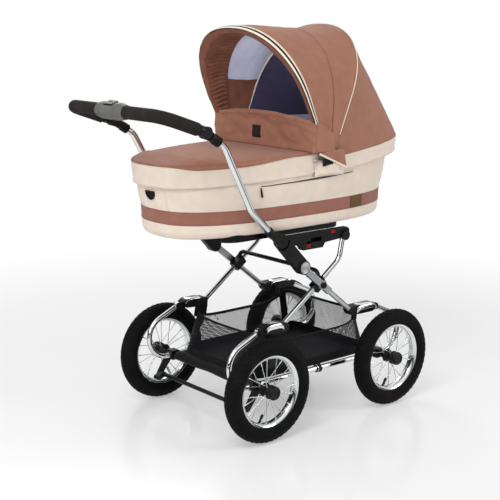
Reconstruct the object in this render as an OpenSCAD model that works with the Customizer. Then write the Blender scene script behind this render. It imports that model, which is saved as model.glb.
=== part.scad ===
// Bassinet pram: an X-frame chassis on wire wheels with C-shaped runner springs,
// a folding handle with a U-shaped foam grip, and a lift-off bassinet with a hood.
// +X points to the hood end, +Y to the pusher's left, +Z up.
// The origin lies on the ground, midway between the axles. Millimetres.

/* [Wheels] */
// Outer diameter of the tyres
tyre_d = 310; // [296:1:324]
// Diameter of the tyre's round section
tyre_tube_d = 54; // [48:1:56]
// Width of the rim between its flanges
rim_w = 31; // [26:1:36]
// Depth of the rim from its flange to the spoke bed
rim_depth = 13; // [10:1:18]
// Number of wire spokes in a wheel
spoke_count = 20; // [12:2:28]
// Diameter of a spoke
spoke_d = 2.6; // [2:0.2:3.4]
// Diameter of the hub and of its cap
hub_d = 42; // [36:1:48]
// Diameter of the axles
axle_d = 10; // [8:0.5:12]
// Distance between the front and the rear axle
wheelbase = 518; // [490:2:546]
// Distance between the wheels' middle planes
track = 517; // [512:1:560]

/* [Runners] */
// Diameter of the runner tubes
runner_d = 16; // [14:0.5:18]
// Distance from the wheels' middle planes in to the runners
runner_inset = 62.5; // [60.5:0.5:64.5]
// Bend radius of the C-shaped spring, to the tube's middle
spring_r = 66; // [60:1:70]
// Distance of the bend's centre beyond the axle
spring_setback = 27; // [22:1:32]
// Rise of the runner's upper arm
spring_rise = 24; // [20:1:27]
// Length of the runner's upper arm, from the bend to its knuckle
spring_arm = 78; // [72:1:84]
// Length of the sliding rod inside the rear runner
slide_len = 110; // [90:1:130]
// Diameter of the sliding rod
slide_d = 11; // [9:0.5:12]

/* [Frame] */
// Height of the X pivots
pivot_z = 419; // [412:1:428]
// Diameter of the pivot pins
pivot_d = 12; // [9:0.5:13]
// Diameter of the legs
leg_d = 16; // [14:0.5:17]
// Distance from the runners in to the rear-wheel legs
leg_a_inset = 8; // [7:0.5:9]
// Distance from the runners out to the front-wheel legs
leg_b_outset = 12; // [11.5:0.5:13]
// Width of the ribbed flat section
flat_w = 21; // [18:1:24]
// Thickness of the ribbed flat section
flat_t = 12; // [10:0.5:12.5]
// Number of grooves along the ribbed flat section
rib_count = 3; // [1:1:4]
// Diameter of the lock bar
lock_bar_d = 13; // [10:1:15]
// Height of the lock bar above the X pivots
lock_bar_rise = 39; // [34:1:60]
// Height of the rails' upper face
rail_top = 582; // [578:1:583]
// Height of a rail
rail_h = 36; // [30:1:42]
// Width of a rail
rail_w = 20; // [16:1:22]

/* [Handle] */
// Diameter of the handle tubes
handle_d = 20; // [18:0.5:22]
// Radius of the handle hinge discs
hinge_r = 20; // [18:0.5:22]
// Diameter of the round hinge buttons
hinge_button_d = 37; // [30:1:38]
// Travel of the hinge buttons
hinge_button_travel = 4; // [3:0.5:5]
// Radius of the grip knuckles
knuckle_r = 17; // [15:0.5:19]
// Distance from the handle tubes' feet out to the knuckles' middles
knuckle_outset = 15; // [13:0.5:18]
// Length of the grip arms, from the knuckle to the crossbar
grip_reach = 152; // [120:1:180]
// Angle of the grip arms above level
grip_rise = 19; // [8:1:30]
// Outer diameter of the foam
foam_d = 36; // [32:1:40]
// Diameter of the grip tube inside the foam
grip_tube_d = 22; // [18:0.5:25]
// Length of the grey unit in the middle of the crossbar
grip_unit_len = 128; // [100:1:160]
// Diameter of the grey unit
grip_unit_d = 48; // [42:1:54]

/* [Bassinet] */
// Length of the body at its stripe
body_l = 840; // [800:2:880]
// Width of the body at its stripe
body_w = 411; // [396:1:412]
// Height of the underside of the body
body_bottom = 604; // [600:1:608]
// Height of the body's rim at its middle
body_rim = 818; // [806:1:824]
// Thickness of the padded wall
body_wall = 9; // [6:0.5:14]
// Height of the stripe's lower edge above the underside
stripe_low = 37; // [30:1:44]
// Height of the stripe
stripe_h = 40; // [30:1:50]
// Depth of the cream skirts
skirt_h = 61; // [50:1:66]
// Crown of the apron above the rim
apron_crown = 16; // [8:1:24]
// Height of the wind flap in its middle
flap_h = 110; // [90:1:120]
// Thickness of the mattress
mattress_t = 45; // [30:1:60]

/* [Hood] */
// Height of the hood pivots
hood_z = 775; // [770:1:780]
// Radius of the hood, from its pivots to the top of its hoops
hood_r = 440; // [420:1:450]
// Lean of the front hoop towards the handle
hood_front_lean = 24.3; // [20:0.1:27]
// Lean of the rear hoop towards the head end
hood_rear_lean = 22.3; // [20:0.1:26]
// Diameter of the front hoop
hood_front_d = 8; // [6:0.5:8]
// Diameter of the rear hoop
hood_rear_d = 5; // [4:0.5:5]

/* [Basket] */
// Room between each axle and the end of the basket floor
basket_end_room = 11; // [10:1:29]
// Room between each runner and the side of the basket floor
basket_side_room = 15; // [15:1:31]
// Height of the basket floor above the ground
basket_z = 158; // [150:1:166]
// Height of the closed lower wall
basket_wall_h = 24; // [16:1:34]
// Height of the net at the corners
net_h = 114; // [100:1:120]

/* [Hidden] */
$fn = 64;
gap = 0.3;
run_fit = 0.05;
snug = 0.1;
touch = 0.15;
bend_thin = 0.06;
bend_lap = 0.6;

// Wheel positions
axle_x = wheelbase / 2;
axle_z = tyre_d / 2;
wheel_y = track / 2;
runner_y = wheel_y - runner_inset;
leg_a_y = runner_y - leg_a_inset;
leg_b_y = runner_y + leg_b_outset;
tyre_seat = 8.4;
rim_r = tyre_d / 2 - tyre_tube_d + tyre_seat;
bed_r = rim_r - rim_depth;
rim_bed_w = 18;
rim_sheet = 2.5;
hub_half = 30;
hub_cap_t = 6;
hub_reach = 18;
tread_depth = 1.2;
tread_w = 2;
tread_inner = 5;
tread_outer = 7;
tread_turn = 2.5;

// Runner geometry at the rear, mirrored for the front
bend_x = -axle_x - spring_setback;
bend_z = axle_z + spring_r;
arm_foot = [bend_x - spring_r * sin(spring_rise), bend_z + spring_r * cos(spring_rise)];
knuckle_dir = [cos(spring_rise), sin(spring_rise)];
runner_knuckle = arm_foot + spring_arm * knuckle_dir;
eye_r = 11;
eye_w = 12;
eye_pin_d = 8;
fork_t = 4;
collar_d = 26;
collar_w = 17;
slide_bore = slide_d + 1;
block_outset = 15;
shoulder_d = axle_d + 8;

// Spring units: capsules between an inner and an outer end
unit_r = 13;
unit_w = 28;
unit_cover_t = 2.5;
rear_unit_inset = 2;
front_unit_outset = 6;
rear_unit_y = runner_y - rear_unit_inset;
front_unit_y = runner_y + front_unit_outset;
fork_l = 28;
fork_lift = 3;
unit_out = [runner_knuckle[0] + fork_l, runner_knuckle[1] + fork_lift];
rear_unit_x = -146;
rear_unit_drop = 1;
front_unit_x = 128;
front_unit_lift = 4;
rear_unit_in = [rear_unit_x, runner_knuckle[1] - rear_unit_drop];
front_unit_in = [front_unit_x, runner_knuckle[1] + front_unit_lift];

// Legs
pivot = [0, pivot_z];
leg_a_slope = (pivot_z - rear_unit_in[1]) / -rear_unit_in[0];
leg_b_slope = (pivot_z - front_unit_in[1]) / front_unit_in[0];
leg_bend_x = 88;
leg_bend_r = 45;
leg_top_x = 102;
leg_top_z = 552;
leg_top = [leg_top_x, leg_top_z];
flat_end_x = 30;
hinge_low_x = -85;
hinge_low = [hinge_low_x, pivot_z - leg_b_slope * hinge_low_x];
bracket_l = 44;
bracket_h = 28;

// Handle
hinge_x = -170;
hinge_z = 576;
hinge = [hinge_x, hinge_z];
hinge_pin_d = 10;
hinge_half = 11;
hinge_in = leg_b_y - hinge_half;
hinge_out = leg_b_y + hinge_half;
hinge_split = leg_b_y;
handle_room = 2.5;
tube_y = max(leg_b_y, body_w / 2 + handle_room);
tube_low_spread = 1;
tube_high_spread = 9;
tube_tip_spread = 12;
tube_start_x = -203;
tube_start_z = 598;
tube_low_x = -285;
tube_low_z = 676;
tube_high_x = -388;
tube_high_z = 866;
tube_start = [tube_start_x, tube_start_z];
tube_low = [tube_low_x, tube_low_z];
tube_high = [tube_high_x, tube_high_z];
tube_high_y = tube_y + tube_high_spread;
tube_tip_y = tube_y + tube_tip_spread;
tube_tip_gap = 34;
tube_foot_spread = 0.4;
tube_bend_r = 70;
grip_knuckle_x = -456;
grip_knuckle_z = 908;
grip_knuckle = [grip_knuckle_x, grip_knuckle_z];
knuckle_y = tube_y + knuckle_outset;
knuckle_half = 9;
grip_dir = [-cos(grip_rise), sin(grip_rise)];
crossbar = grip_knuckle + grip_reach * grip_dir;
grip_bend_r = 45;
grip_start = knuckle_r + 2;
grip_slot_l = 24;
grip_slot_w = 40;
grip_slot_t = 7;
grip_arm_y = knuckle_y + knuckle_half / 2 + gap;

// Bassinet outlines: middle, half length and half width at each level
outline_n = 2.6;
ring_count = 40;
body_mid = -49;
rim_tilt = 0.04;
body_top_mid = -40;
edge_h = 6;
edge_l = 22;
edge_w = 16;
floor_inset_l = 8;
floor_inset_w = 6;
mattress_room_l = 14;
mattress_room_w = 11;
body_flare_l = 26;
body_flare_w = 4.5;
body_top_l = body_l / 2 + body_flare_l;
body_top_w = body_w / 2 + body_flare_w;
upper_mid = (body_mid + body_top_mid) / 2 + 2;
upper_flare_l = 18;
upper_flare_w = 2.5;
upper_l = body_l / 2 + upper_flare_l;
skirt_mid = -28;
skirt_out_l = 54;
skirt_out_w = 9;
skirt_l = body_l / 2 + skirt_out_l;
skirt_w = body_w / 2 + skirt_out_w;
skirt_t = 4;
skirt_tuck_l = 7;
skirt_tuck_w = 1;
skirt_lap = 4.5;
skirt_top = body_rim + skirt_lap;
apron_end = -59;
apron_flat = -86;
apron_full = -300;
apron_lap = 5;
// Each wave of the apron: its height, its length along X and its turn from the middle to the side
apron_waves = [[2.2, 171, 140], [1.6, 97, -220]];
apron_skirt_end = -34;
hood_skirt_start = 76;
stripe_t = 1.2;
pan_back = -350;
pan_front = 122;
pan_l = [pan_back, pan_front];
pan_inset = 33;
pan_w = 2 * (leg_b_y - pan_inset);
pan_t = body_bottom - rail_top - 2 * gap;

// Hood
hood_x = 4;
hood_pin_d = 8;
hood_sheet = 2.5;
cloth_gap = 1.2;
hood_rear_y = body_top_w + 3.2;
hood_rear_cloth_y = hood_rear_y + hood_rear_d / 2 + cloth_gap;
hood_front_y = hood_rear_cloth_y + hood_sheet + 1 + hood_front_d / 2;
hood_front_cloth_y = hood_front_y + hood_front_d / 2 + cloth_gap;
hood_skirt_tilt = 0.1;
hood_skirt_low_tilt = 0.09;
hood_hem_drop = 18;
hood_hem = body_rim - hood_hem_drop;
hood_leg_start = 34;
arch_steps = 14;
arch_power = 0.88;
canopy_slack = 0.02;
head_fullness = 0.72;
head_bulge = 1.04;
head_drop = 0.02;

// Wind flap
flap_x = -64;
flap_z = skirt_top + rim_tilt * apron_end + apron_lap + gap;
flap_t = 4;
flap_bow = 2.5;
flap_half = hood_front_cloth_y + 1;
flap_side_drop = 44;

// Basket
basket_l = wheelbase - 2 * basket_end_room;
basket_w = 2 * (runner_y - basket_side_room);
basket_t = 3;
basket_n = 9;
basket_points = 32;
side_lean = 7;
end_lean = 56;
net_t = 2;
net_strand = 4;
net_columns = 22;
net_end_columns = 15;
net_rows = 4;
side_sag = 36;
end_sag = 32;
corner_cut = 14;
strap_w = 22;

// Rails
rail_mid_y = leg_a_y - 3;
rail_back = -148;
rail_front = 124;
step_back = -78;
step_front = 22;
step_h = 14;
lever_l = 15;
lever_w = 10;
lever_rise = 10;
lever_lift = 9;
lever_show = -2;
lever_front_x = 54;
lever_step_x = -47;
lever_step_drop = 8;

// A point of the side view, given as x and z, at a distance y from the middle
function at(p, y) = [p[0], y, p[1]];
function unit(v) = v / norm(v);
function signed_pow(v, e) = sign(v) * pow(abs(v), e);
function sum(values) = values * [for (v = values) 1];

// A tube or bar from one point to another
module stick(p, q, d, d_in = 0) {
    v = q - p;
    len = norm(v);
    translate(p)
        rotate([0, acos(v[2] / len), atan2(v[1], v[0])])
            linear_extrude(len)
                difference() {
                    circle(d = d);
                    if (d_in > 0)
                        circle(d = d_in);
                }
}

// One bend of a tube: a piece of a ring between two straight runs
module elbow(p, u, v, r, d, d_in = 0) {
    turn = acos(max(-1, min(1, u * v)));
    tangent = r * tan(turn / 2);
    start = p - u * tangent;
    side = unit(v - u * (u * v));
    centre = start + side * r;
    ax = -side;
    ay = u;
    az = cross(ax, ay);
    multmatrix([
        [ax[0], ay[0], az[0], centre[0]],
        [ax[1], ay[1], az[1], centre[1]],
        [ax[2], ay[2], az[2], centre[2]],
        [0, 0, 0, 1]])
        rotate_extrude(angle = turn)
            translate([r, 0])
                difference() {
                    circle(d = d - bend_thin);
                    if (d_in > 0)
                        circle(d = d_in + bend_thin);
                }
}

// A tube with straight runs between its points and a round bend at each inner point
module bent_tube(points, r, d, d_in = 0) {
    last = len(points) - 1;
    dirs = [for (i = [0:last - 1]) unit(points[i + 1] - points[i])];
    cut = [for (i = [0:last]) i == 0 || i == last ? 0
        : r * tan(acos(max(-1, min(1, dirs[i - 1] * dirs[i]))) / 2)];
    lap = [for (c = cut) c > 0 ? c - bend_lap : 0];
    for (i = [0:last - 1])
        stick(points[i] + dirs[i] * lap[i], points[i + 1] - dirs[i] * lap[i + 1], d, d_in);
    for (i = [1:1:last - 1])
        elbow(points[i], dirs[i - 1], dirs[i], r, d, d_in);
}

// A cylinder along Y between two distances from the middle, on one side
module pin(p, y0, y1, d) {
    translate([p[0], y0, p[1]])
        rotate([-90, 0, 0])
            cylinder(h = y1 - y0, d = d);
}

// A plate along Y whose side view is given by its children
module plate(y0, y1) {
    translate([0, y1, 0])
        rotate([90, 0, 0])
            linear_extrude(y1 - y0)
                children();
}

// Side view of a capsule between two points
module capsule(p, q, r, r_end) {
    v = q - p;
    translate(p)
        circle(r);
    translate(q)
        circle(r_end);
    side = [-v[1], v[0]] / norm(v);
    polygon([p + side * r, q + side * r_end, q - side * r_end, p - side * r]);
}

// Draws its children on the left or mirrored to the right
module on_side(s) {
    mirror([0, s < 0 ? 1 : 0, 0])
        children();
}

// Mirrors the rear runner parts to the front
module at_end(e) {
    mirror([e > 0 ? 1 : 0, 0, 0])
        children();
}

// Closed skin through rings of equal count, with a cap on the first and the last ring.
// A sheet's ring runs out along one face and back along the other, and its caps are strips between the two.
module skin(rings, sheet = false) {
    n = len(rings[0]);
    last = len(rings) - 1;
    strip = [for (i = [0:n / 2 - 2]) each [[i, i + 1, n - 1 - i], [i + 1, n - 2 - i, n - 1 - i]]];
    points = [for (ring = rings) for (p = ring) p];
    sides = [for (k = [0:last - 1]) for (i = [0:n - 1])
        let (a = k * n + i, b = k * n + (i + 1) % n)
            each [[a, a + n, b + n], [a, b + n, b]]];
    whole = [[for (i = [0:n - 1]) i]];
    low = sheet ? strip : whole;
    high = [for (f = low) [for (i = [len(f) - 1:-1:0]) last * n + f[i]]];
    polyhedron(points, concat(low, sides, high), convexity = 8);
}

// Point of a rounded outline at an angle, as x and y
function outline_at(mid, half_l, half_w, t) =
    [mid + half_l * signed_pow(cos(t), 2 / outline_n), half_w * signed_pow(sin(t), 2 / outline_n)];

// Ring of an outline at a height that may rise towards the head end
function outline_ring(mid, half_l, half_w, z, tilt) =
    [for (i = [0:ring_count - 1])
        let (p = outline_at(mid, half_l, half_w, 360 * (i + 0.5) / ring_count))
            [p[0], p[1], z + tilt * p[0]]];

// Half the outline's width at a given x
function half_width(mid, half_l, half_w, x) =
    half_w * pow(max(0, 1 - pow(abs(x - mid) / half_l, outline_n)), 1 / outline_n);

// Angle on an outline where x has a given value
function outline_angle(mid, half_l, x) = acos(signed_pow((x - mid) / half_l, outline_n / 2));

// Wheels

module place_wheel(e, s) {
    translate([e * axle_x, s * wheel_y, axle_z])
        rotate([s > 0 ? -90 : 90, 0, 0])
            children();
}

module tyre_profile() {
    difference() {
        translate([tyre_d / 2 - tyre_tube_d / 2, 0])
            circle(d = tyre_tube_d);
        translate([0, -rim_w / 2 - touch])
            square([rim_r + touch, rim_w + 2 * touch]);
        for (w = [-1, 1])
            translate([tyre_d / 2 - tread_depth, w * tread_inner - tread_w / 2])
                square([2 * tread_depth, tread_w]);
        for (w = [-1, 1])
            rotate(w * tread_turn)
                translate([tyre_d / 2 - 2.6 * tread_depth, w * tread_outer - tread_w / 2])
                    square([4 * tread_depth, tread_w]);
    }
}

module tyre(e, s) {
    color("#1c1c1e")
        place_wheel(e, s)
            rotate_extrude()
                tyre_profile();
}

module rim_profile() {
    half = rim_w / 2;
    bed = rim_bed_w / 2;
    outer = bed_r + 0.45 * rim_depth;
    inner = bed_r + 0.55 * rim_depth;
    polygon([
        [bed_r, -bed], [outer, -half + rim_sheet], [rim_r, -half],
        [rim_r, -half + rim_sheet], [inner, -half + 2 * rim_sheet], [bed_r + rim_sheet, -bed],
        [bed_r + rim_sheet, bed], [inner, half - 2 * rim_sheet], [rim_r, half - rim_sheet],
        [rim_r, half], [outer, half - rim_sheet], [bed_r, bed]]);
}

module spokes() {
    step = 360 / spoke_count;
    lead = 24;
    flange_w = 13;
    bed_w = 4;
    for (i = [0:spoke_count - 1]) {
        face = i % 2 == 0 ? 1 : -1;
        way = floor(i / 2) % 2 == 0 ? 1 : -1;
        outer = step * i;
        inner = outer + way * lead;
        pass_by = way * (spoke_d / 2 + gap);
        root = hub_d / 2 + gap + spoke_d / 4;
        tip = bed_r - gap - snug;
        stick([root * cos(inner), root * sin(inner), face * flange_w + pass_by],
            [tip * cos(outer), tip * sin(outer), face * bed_w + pass_by], spoke_d);
    }
}

module rim(e, s) {
    color("#c9cbd0")
        place_wheel(e, s) {
            rotate_extrude()
                rim_profile();
            spokes();
        }
}

// Hub with two flanges, a waist, a blind bore for the axle and a domed cap outside
module hub(e, s) {
    flange = 9;
    flange_t = 7;
    cap_start = flange + 17;
    neck_r = 0.34 * hub_d;
    foot_r = 0.3 * hub_d;
    shoulder_r = 0.44 * hub_d;
    dome_r = 0.16 * hub_d;
    color("#161617")
        place_wheel(e, s)
            difference() {
                rotate_extrude()
                    polygon([
                        [0, -hub_half], [foot_r, -hub_half], [neck_r, -hub_half + flange_t],
                        [neck_r, -flange - flange_t - 1], [hub_d / 2, -flange - flange_t], [hub_d / 2, -flange],
                        [neck_r, -flange + 2], [neck_r, flange - 2],
                        [hub_d / 2, flange], [hub_d / 2, flange + 2 * flange_t], [shoulder_r, cap_start],
                        [neck_r, cap_start + hub_cap_t / 2], [dome_r, cap_start + hub_cap_t],
                        [0, cap_start + hub_cap_t]]);
                translate([0, 0, -hub_half - 1])
                    cylinder(h = hub_half + 1 + hub_reach + 1, d = axle_d + 2 * run_fit);
            }
}

// Runners: a C-shaped spring at the wheel and a straight rod towards the middle

module runner_tube() {
    bottom = [bend_x, axle_z];
    stick(at(bottom - [bend_lap, 0], runner_y), at([-collar_w / 2 + 1, axle_z], runner_y), runner_d);
    elbow_turn = 180 - spring_rise;
    translate(at([bend_x, bend_z], runner_y))
        rotate([90, 0, 0])
            rotate(90 + spring_rise)
                rotate_extrude(angle = elbow_turn)
                    translate([spring_r, 0])
                        circle(d = runner_d - bend_thin);
    stick(at(arm_foot - bend_lap * knuckle_dir, runner_y),
        at(runner_knuckle - (eye_r + 3) * knuckle_dir, runner_y), runner_d);
    stick(at(runner_knuckle - (eye_r + 8) * knuckle_dir, runner_y), at(runner_knuckle, runner_y), eye_w - 2);
    pin(runner_knuckle, runner_y - eye_w / 2, runner_y + eye_w / 2, 2 * eye_r);
}

module runner_holes() {
    pin(runner_knuckle, runner_y - eye_w, runner_y + eye_w, eye_pin_d + 2 * run_fit);
    pin([-axle_x, axle_z], runner_y - runner_d, runner_y + runner_d, axle_d + snug);
}

// The rear runner ends in a collar and is bored for the front runner's rod
module rear_runner(s) {
    bore_depth = slide_len + 8;
    color("#c9cbd0")
        on_side(s)
            difference() {
                union() {
                    runner_tube();
                    stick(at([-collar_w / 2, axle_z], runner_y),
                        at([collar_w / 2, axle_z], runner_y), collar_d);
                }
                runner_holes();
                stick(at([-bore_depth, axle_z], runner_y),
                    at([collar_w / 2 + 1, axle_z], runner_y), slide_bore);
            }
}

module front_runner(s) {
    start = collar_w / 2 + 1;
    slide_lap = 10;
    color("#c9cbd0")
        on_side(s)
            difference() {
                union() {
                    at_end(1)
                        difference() {
                            runner_tube();
                            stick(at([-start, axle_z], runner_y), at([2, axle_z], runner_y), runner_d + 1);
                        }
                    stick(at([start - slide_len, axle_z], runner_y),
                        at([start + slide_lap, axle_z], runner_y), slide_d);
                }
                at_end(1)
                    runner_holes();
            }
}

// Axle with a clamp block and a shoulder at each runner
module axle(e) {
    block_l = 34;
    block_h = 30;
    block_bevel = 7;
    block_inset = 12;
    block_in = runner_y - block_inset;
    block_out = runner_y + block_outset;
    shoulder_end = wheel_y - hub_half - gap;
    axle_end = wheel_y + hub_reach;
    color("#232325")
        at_end(e) {
            pin([-axle_x, axle_z], -axle_end, axle_end, axle_d);
            for (s = [-1, 1])
                on_side(s) {
                    difference() {
                        plate(block_in, block_out)
                            translate([-axle_x, axle_z])
                                difference() {
                                    square([block_l, block_h], center = true);
                                    for (c = [-1, 1], k = [-1, 1])
                                        translate([c * block_l / 2, k * block_h / 2])
                                            rotate(45)
                                                square(block_bevel, center = true);
                                }
                        stick(at([-axle_x - block_l, axle_z], runner_y),
                            at([-axle_x + block_l, axle_z], runner_y), runner_d + snug);
                        runner_bend_cut();
                    }
                    pin([-axle_x, axle_z], block_out, shoulder_end, shoulder_d);
                }
        }
}

// Room in the clamp block for the start of the C-shaped bend
module runner_bend_cut() {
    translate(at([bend_x, bend_z], runner_y))
        rotate([90, 0, 0])
            rotate(180)
                rotate_extrude(angle = 90)
                    translate([spring_r, 0])
                        circle(d = runner_d + 4 * snug);
}

// Foot brake: a bar between two levers that swing on the rear axle's shoulders
module brake_bar() {
    bar_back = 41;
    bar_drop = 58;
    bar = [-axle_x - bar_back, axle_z - bar_drop];
    bar_d = 13;
    lever_in = runner_y + block_outset + 2 * gap;
    lever_t = 7;
    eye_wall = 5;
    foot_wall = 3;
    pedal_w = 22;
    pedal_back = 20;
    pedal_drop = 8;
    pedal_tip = 7;
    color("#1b1b1d") {
        pin(bar, -lever_in - lever_t, lever_in + lever_t, bar_d);
        for (s = [-1, 1])
            on_side(s)
                difference() {
                    union() {
                        plate(lever_in, lever_in + lever_t)
                            capsule([-axle_x, axle_z], bar, shoulder_d / 2 + eye_wall, bar_d / 2 + foot_wall);
                        plate(lever_in - pedal_w, lever_in)
                            translate(bar)
                                capsule([0, 0], [-pedal_back, -pedal_drop], bar_d / 2 + 2, pedal_tip);
                    }
                    pin([-axle_x, axle_z], lever_in - 1, lever_in + lever_t + 1, shoulder_d + 2 * run_fit);
                }
    }
}

// Frame on the rear wheels

function leg_a_point(x) = [x, pivot_z + leg_a_slope * x];
function leg_b_point(x) = [x, pivot_z - leg_b_slope * x];

module leg_a_path(d) {
    bent_tube([at(rear_unit_in, leg_a_y), at(leg_a_point(leg_bend_x), leg_a_y), at(leg_top, leg_a_y)],
        leg_bend_r, d);
}

module leg_a(s) {
    color("#c9cbd0")
        on_side(s)
            leg_a_path(leg_d);
}

// Spring unit: a rounded housing with a raised cover and a fork for the runner's eye
module spring_unit(inner, mid_y) {
    half = unit_w / 2;
    plate(mid_y - half, mid_y + half)
        capsule(inner, unit_out, unit_r, unit_r);
    plate(mid_y - half - unit_cover_t, mid_y + half + unit_cover_t)
        intersection() {
            capsule(inner, unit_out, unit_r + unit_cover_t, unit_r + unit_cover_t);
            translate([unit_out[0] - 2 * unit_r, unit_out[1] + 2])
                square([inner[0] - unit_out[0] + 4 * unit_r, 2 * unit_r]);
        }
    for (side = [-1, 1]) {
        plate_mid = runner_y + side * (eye_w / 2 + gap + fork_t / 2);
        plate(plate_mid - fork_t / 2, plate_mid + fork_t / 2)
            capsule(unit_out, runner_knuckle, unit_r - 2, eye_r);
    }
    pin(runner_knuckle, runner_y - eye_w / 2 - gap - fork_t, runner_y + eye_w / 2 + gap + fork_t, eye_pin_d);
}

// Room for the runner's eye and neck as it swings in the fork
module eye_room() {
    difference() {
        pin(runner_knuckle, runner_y - eye_w / 2 - gap, runner_y + eye_w / 2 + gap, 2 * eye_r + 4);
        pin(runner_knuckle, runner_y - eye_w, runner_y + eye_w, eye_pin_d);
    }
}

module rear_unit(s) {
    color("#1d1d1f")
        on_side(s)
            difference() {
                spring_unit(rear_unit_in, rear_unit_y);
                eye_room();
                leg_a_path(leg_d + snug);
            }
}

// Lock bar over the frame, with a clamp bracket and a pivot pin at each side
module lock_bar() {
    top = pivot_z + lock_bar_rise;
    foot_rise = 8;
    foot = pivot_z + foot_rise;
    foot_x = 2;
    top_x = 6;
    bar_bend_r = 22;
    bar_y = leg_a_y - 1;
    tilt = atan(leg_a_slope);
    bracket_wall = 4;
    bracket_in = leg_a_y - leg_d / 2 - bracket_wall;
    bracket_out = leg_b_y - flat_t / 2 - 2 * gap;
    pin_end = leg_b_y + flat_t / 2 + 2 * gap;
    pin_head_t = 3.4;
    pin_head = 8;
    color("#1d1d1f")
        difference() {
            union() {
                bent_tube([
                    [foot_x, -bar_y, foot], [top_x, -bar_y, top], [top_x, bar_y, top], [foot_x, bar_y, foot]],
                    bar_bend_r, lock_bar_d);
                for (s = [-1, 1])
                    on_side(s) {
                        plate(bracket_in, bracket_out)
                            translate(pivot)
                                rotate(tilt)
                                    square([bracket_l, bracket_h], center = true);
                        pin(pivot, bracket_out, pin_end, pivot_d);
                        pin(pivot, pin_end, pin_end + pin_head_t, pivot_d + pin_head);
                    }
            }
            for (s = [-1, 1])
                on_side(s)
                    stick(at(leg_a_point(-bracket_l), leg_a_y),
                        at(leg_a_point(bracket_l), leg_a_y), leg_d + snug);
        }
}

// Adapter rail that carries the bassinet, with a cap over the top of the leg
module rail(s) {
    low = rail_top - rail_h;
    mid = rail_mid_y;
    nose_h = 20;
    step_slope = 10;
    rail_bevel = 8;
    window_inset = 40;
    window_lift = 6;
    window_l = 44;
    window_h = 14;
    cap_run = 18;
    cap_lift = 4;
    cap_rise = 6;
    cap_t = 8;
    cap_d = 30;
    color("#1b1b1d")
        on_side(s)
            difference() {
                union() {
                    plate(mid - rail_w / 2, mid + rail_w / 2)
                        difference() {
                            polygon([
                                [rail_back, rail_top], [rail_back, rail_top - nose_h], [step_back, low],
                                [step_back + step_slope, low - step_h],
                                [step_front - step_slope, low - step_h], [step_front, low],
                                [leg_top_x - cap_run, low + cap_lift], [rail_front, low + cap_lift],
                                [rail_front, rail_top - rail_bevel], [rail_front - rail_bevel, rail_top]]);
                            translate([step_back + window_inset, low + window_lift])
                                square([window_l, window_h]);
                        }
                    pin([leg_top_x + 2, leg_top_z + cap_rise],
                        mid + rail_w / 2, mid + rail_w / 2 + cap_t, cap_d);
                }
                leg_a_path(leg_d + snug);
                lever_room();
            }
}

// Pockets in the rail for the red release levers, with room for their lift
module lever_room() {
    for (p = lever_spots())
        translate([p[0] - lever_l / 2 - gap, rail_mid_y - lever_w / 2 - gap, p[1] - gap])
            cube([lever_l + 2 * gap, rail_w, lever_rise + lever_lift + 2 * gap]);
}

// Places of the levers: one in the rail's top and one in the side of its lower step
function lever_spots() = [
    [lever_front_x, rail_top + lever_show - lever_rise],
    [lever_step_x, rail_top - rail_h - lever_step_drop]];

// Red release levers, two in pockets of each rail
module release_levers() {
    depth = rail_w / 2 + lever_w / 2;
    groove_w = 1.5;
    groove_t = 1;
    color("#8e1b2a")
        for (s = [-1, 1], p = lever_spots())
            on_side(s)
                translate([p[0], rail_mid_y - lever_w / 2 + depth / 2, p[1]])
                    difference() {
                        translate([-lever_l / 2, -depth / 2, 0])
                            cube([lever_l, depth, lever_rise]);
                        for (k = [-1, 0, 1])
                            translate([k * lever_l / 4 - groove_w / 2, depth / 2 - groove_t, -1])
                                cube([groove_w, 2 * groove_t, lever_rise + 2]);
                    }
}

// Frame on the front wheels

module leg_b(s) {
    p = at(leg_b_point(hinge_low_x + 6), leg_b_y);
    q = at(leg_b_point(flat_end_x), leg_b_y);
    v = q - p;
    groove = 2.4;
    pitch = flat_w / (rib_count + 1);
    color("#b9bcc2")
        on_side(s)
            difference() {
                union() {
                    translate(p)
                        rotate([0, acos(v[2] / norm(v)), 0])
                            linear_extrude(norm(v))
                                difference() {
                                    square([flat_w, flat_t], center = true);
                                    for (i = [1:rib_count])
                                        translate([-flat_w / 2 + i * pitch - groove / 2, flat_t / 2 - 1.2])
                                            square([groove, 2]);
                                }
                    stick(at(leg_b_point(flat_end_x - 6), leg_b_y), at(front_unit_in, leg_b_y), leg_d);
                    pin(pivot, leg_b_y - flat_t / 2 - gap / 2, leg_b_y + flat_t / 2 + gap / 2, pivot_d + 16);
                }
                pin(pivot, leg_b_y - flat_t, leg_b_y + flat_t, pivot_d + 2 * run_fit);
            }
}

module front_unit(s) {
    color("#1d1d1f")
        on_side(s)
            difference() {
                at_end(1)
                    difference() {
                        spring_unit([-front_unit_in[0], front_unit_in[1]], front_unit_y);
                        eye_room();
                    }
                stick(at(leg_b_point(flat_end_x), leg_b_y), at(front_unit_in, leg_b_y), leg_d + snug);
            }
}

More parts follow.
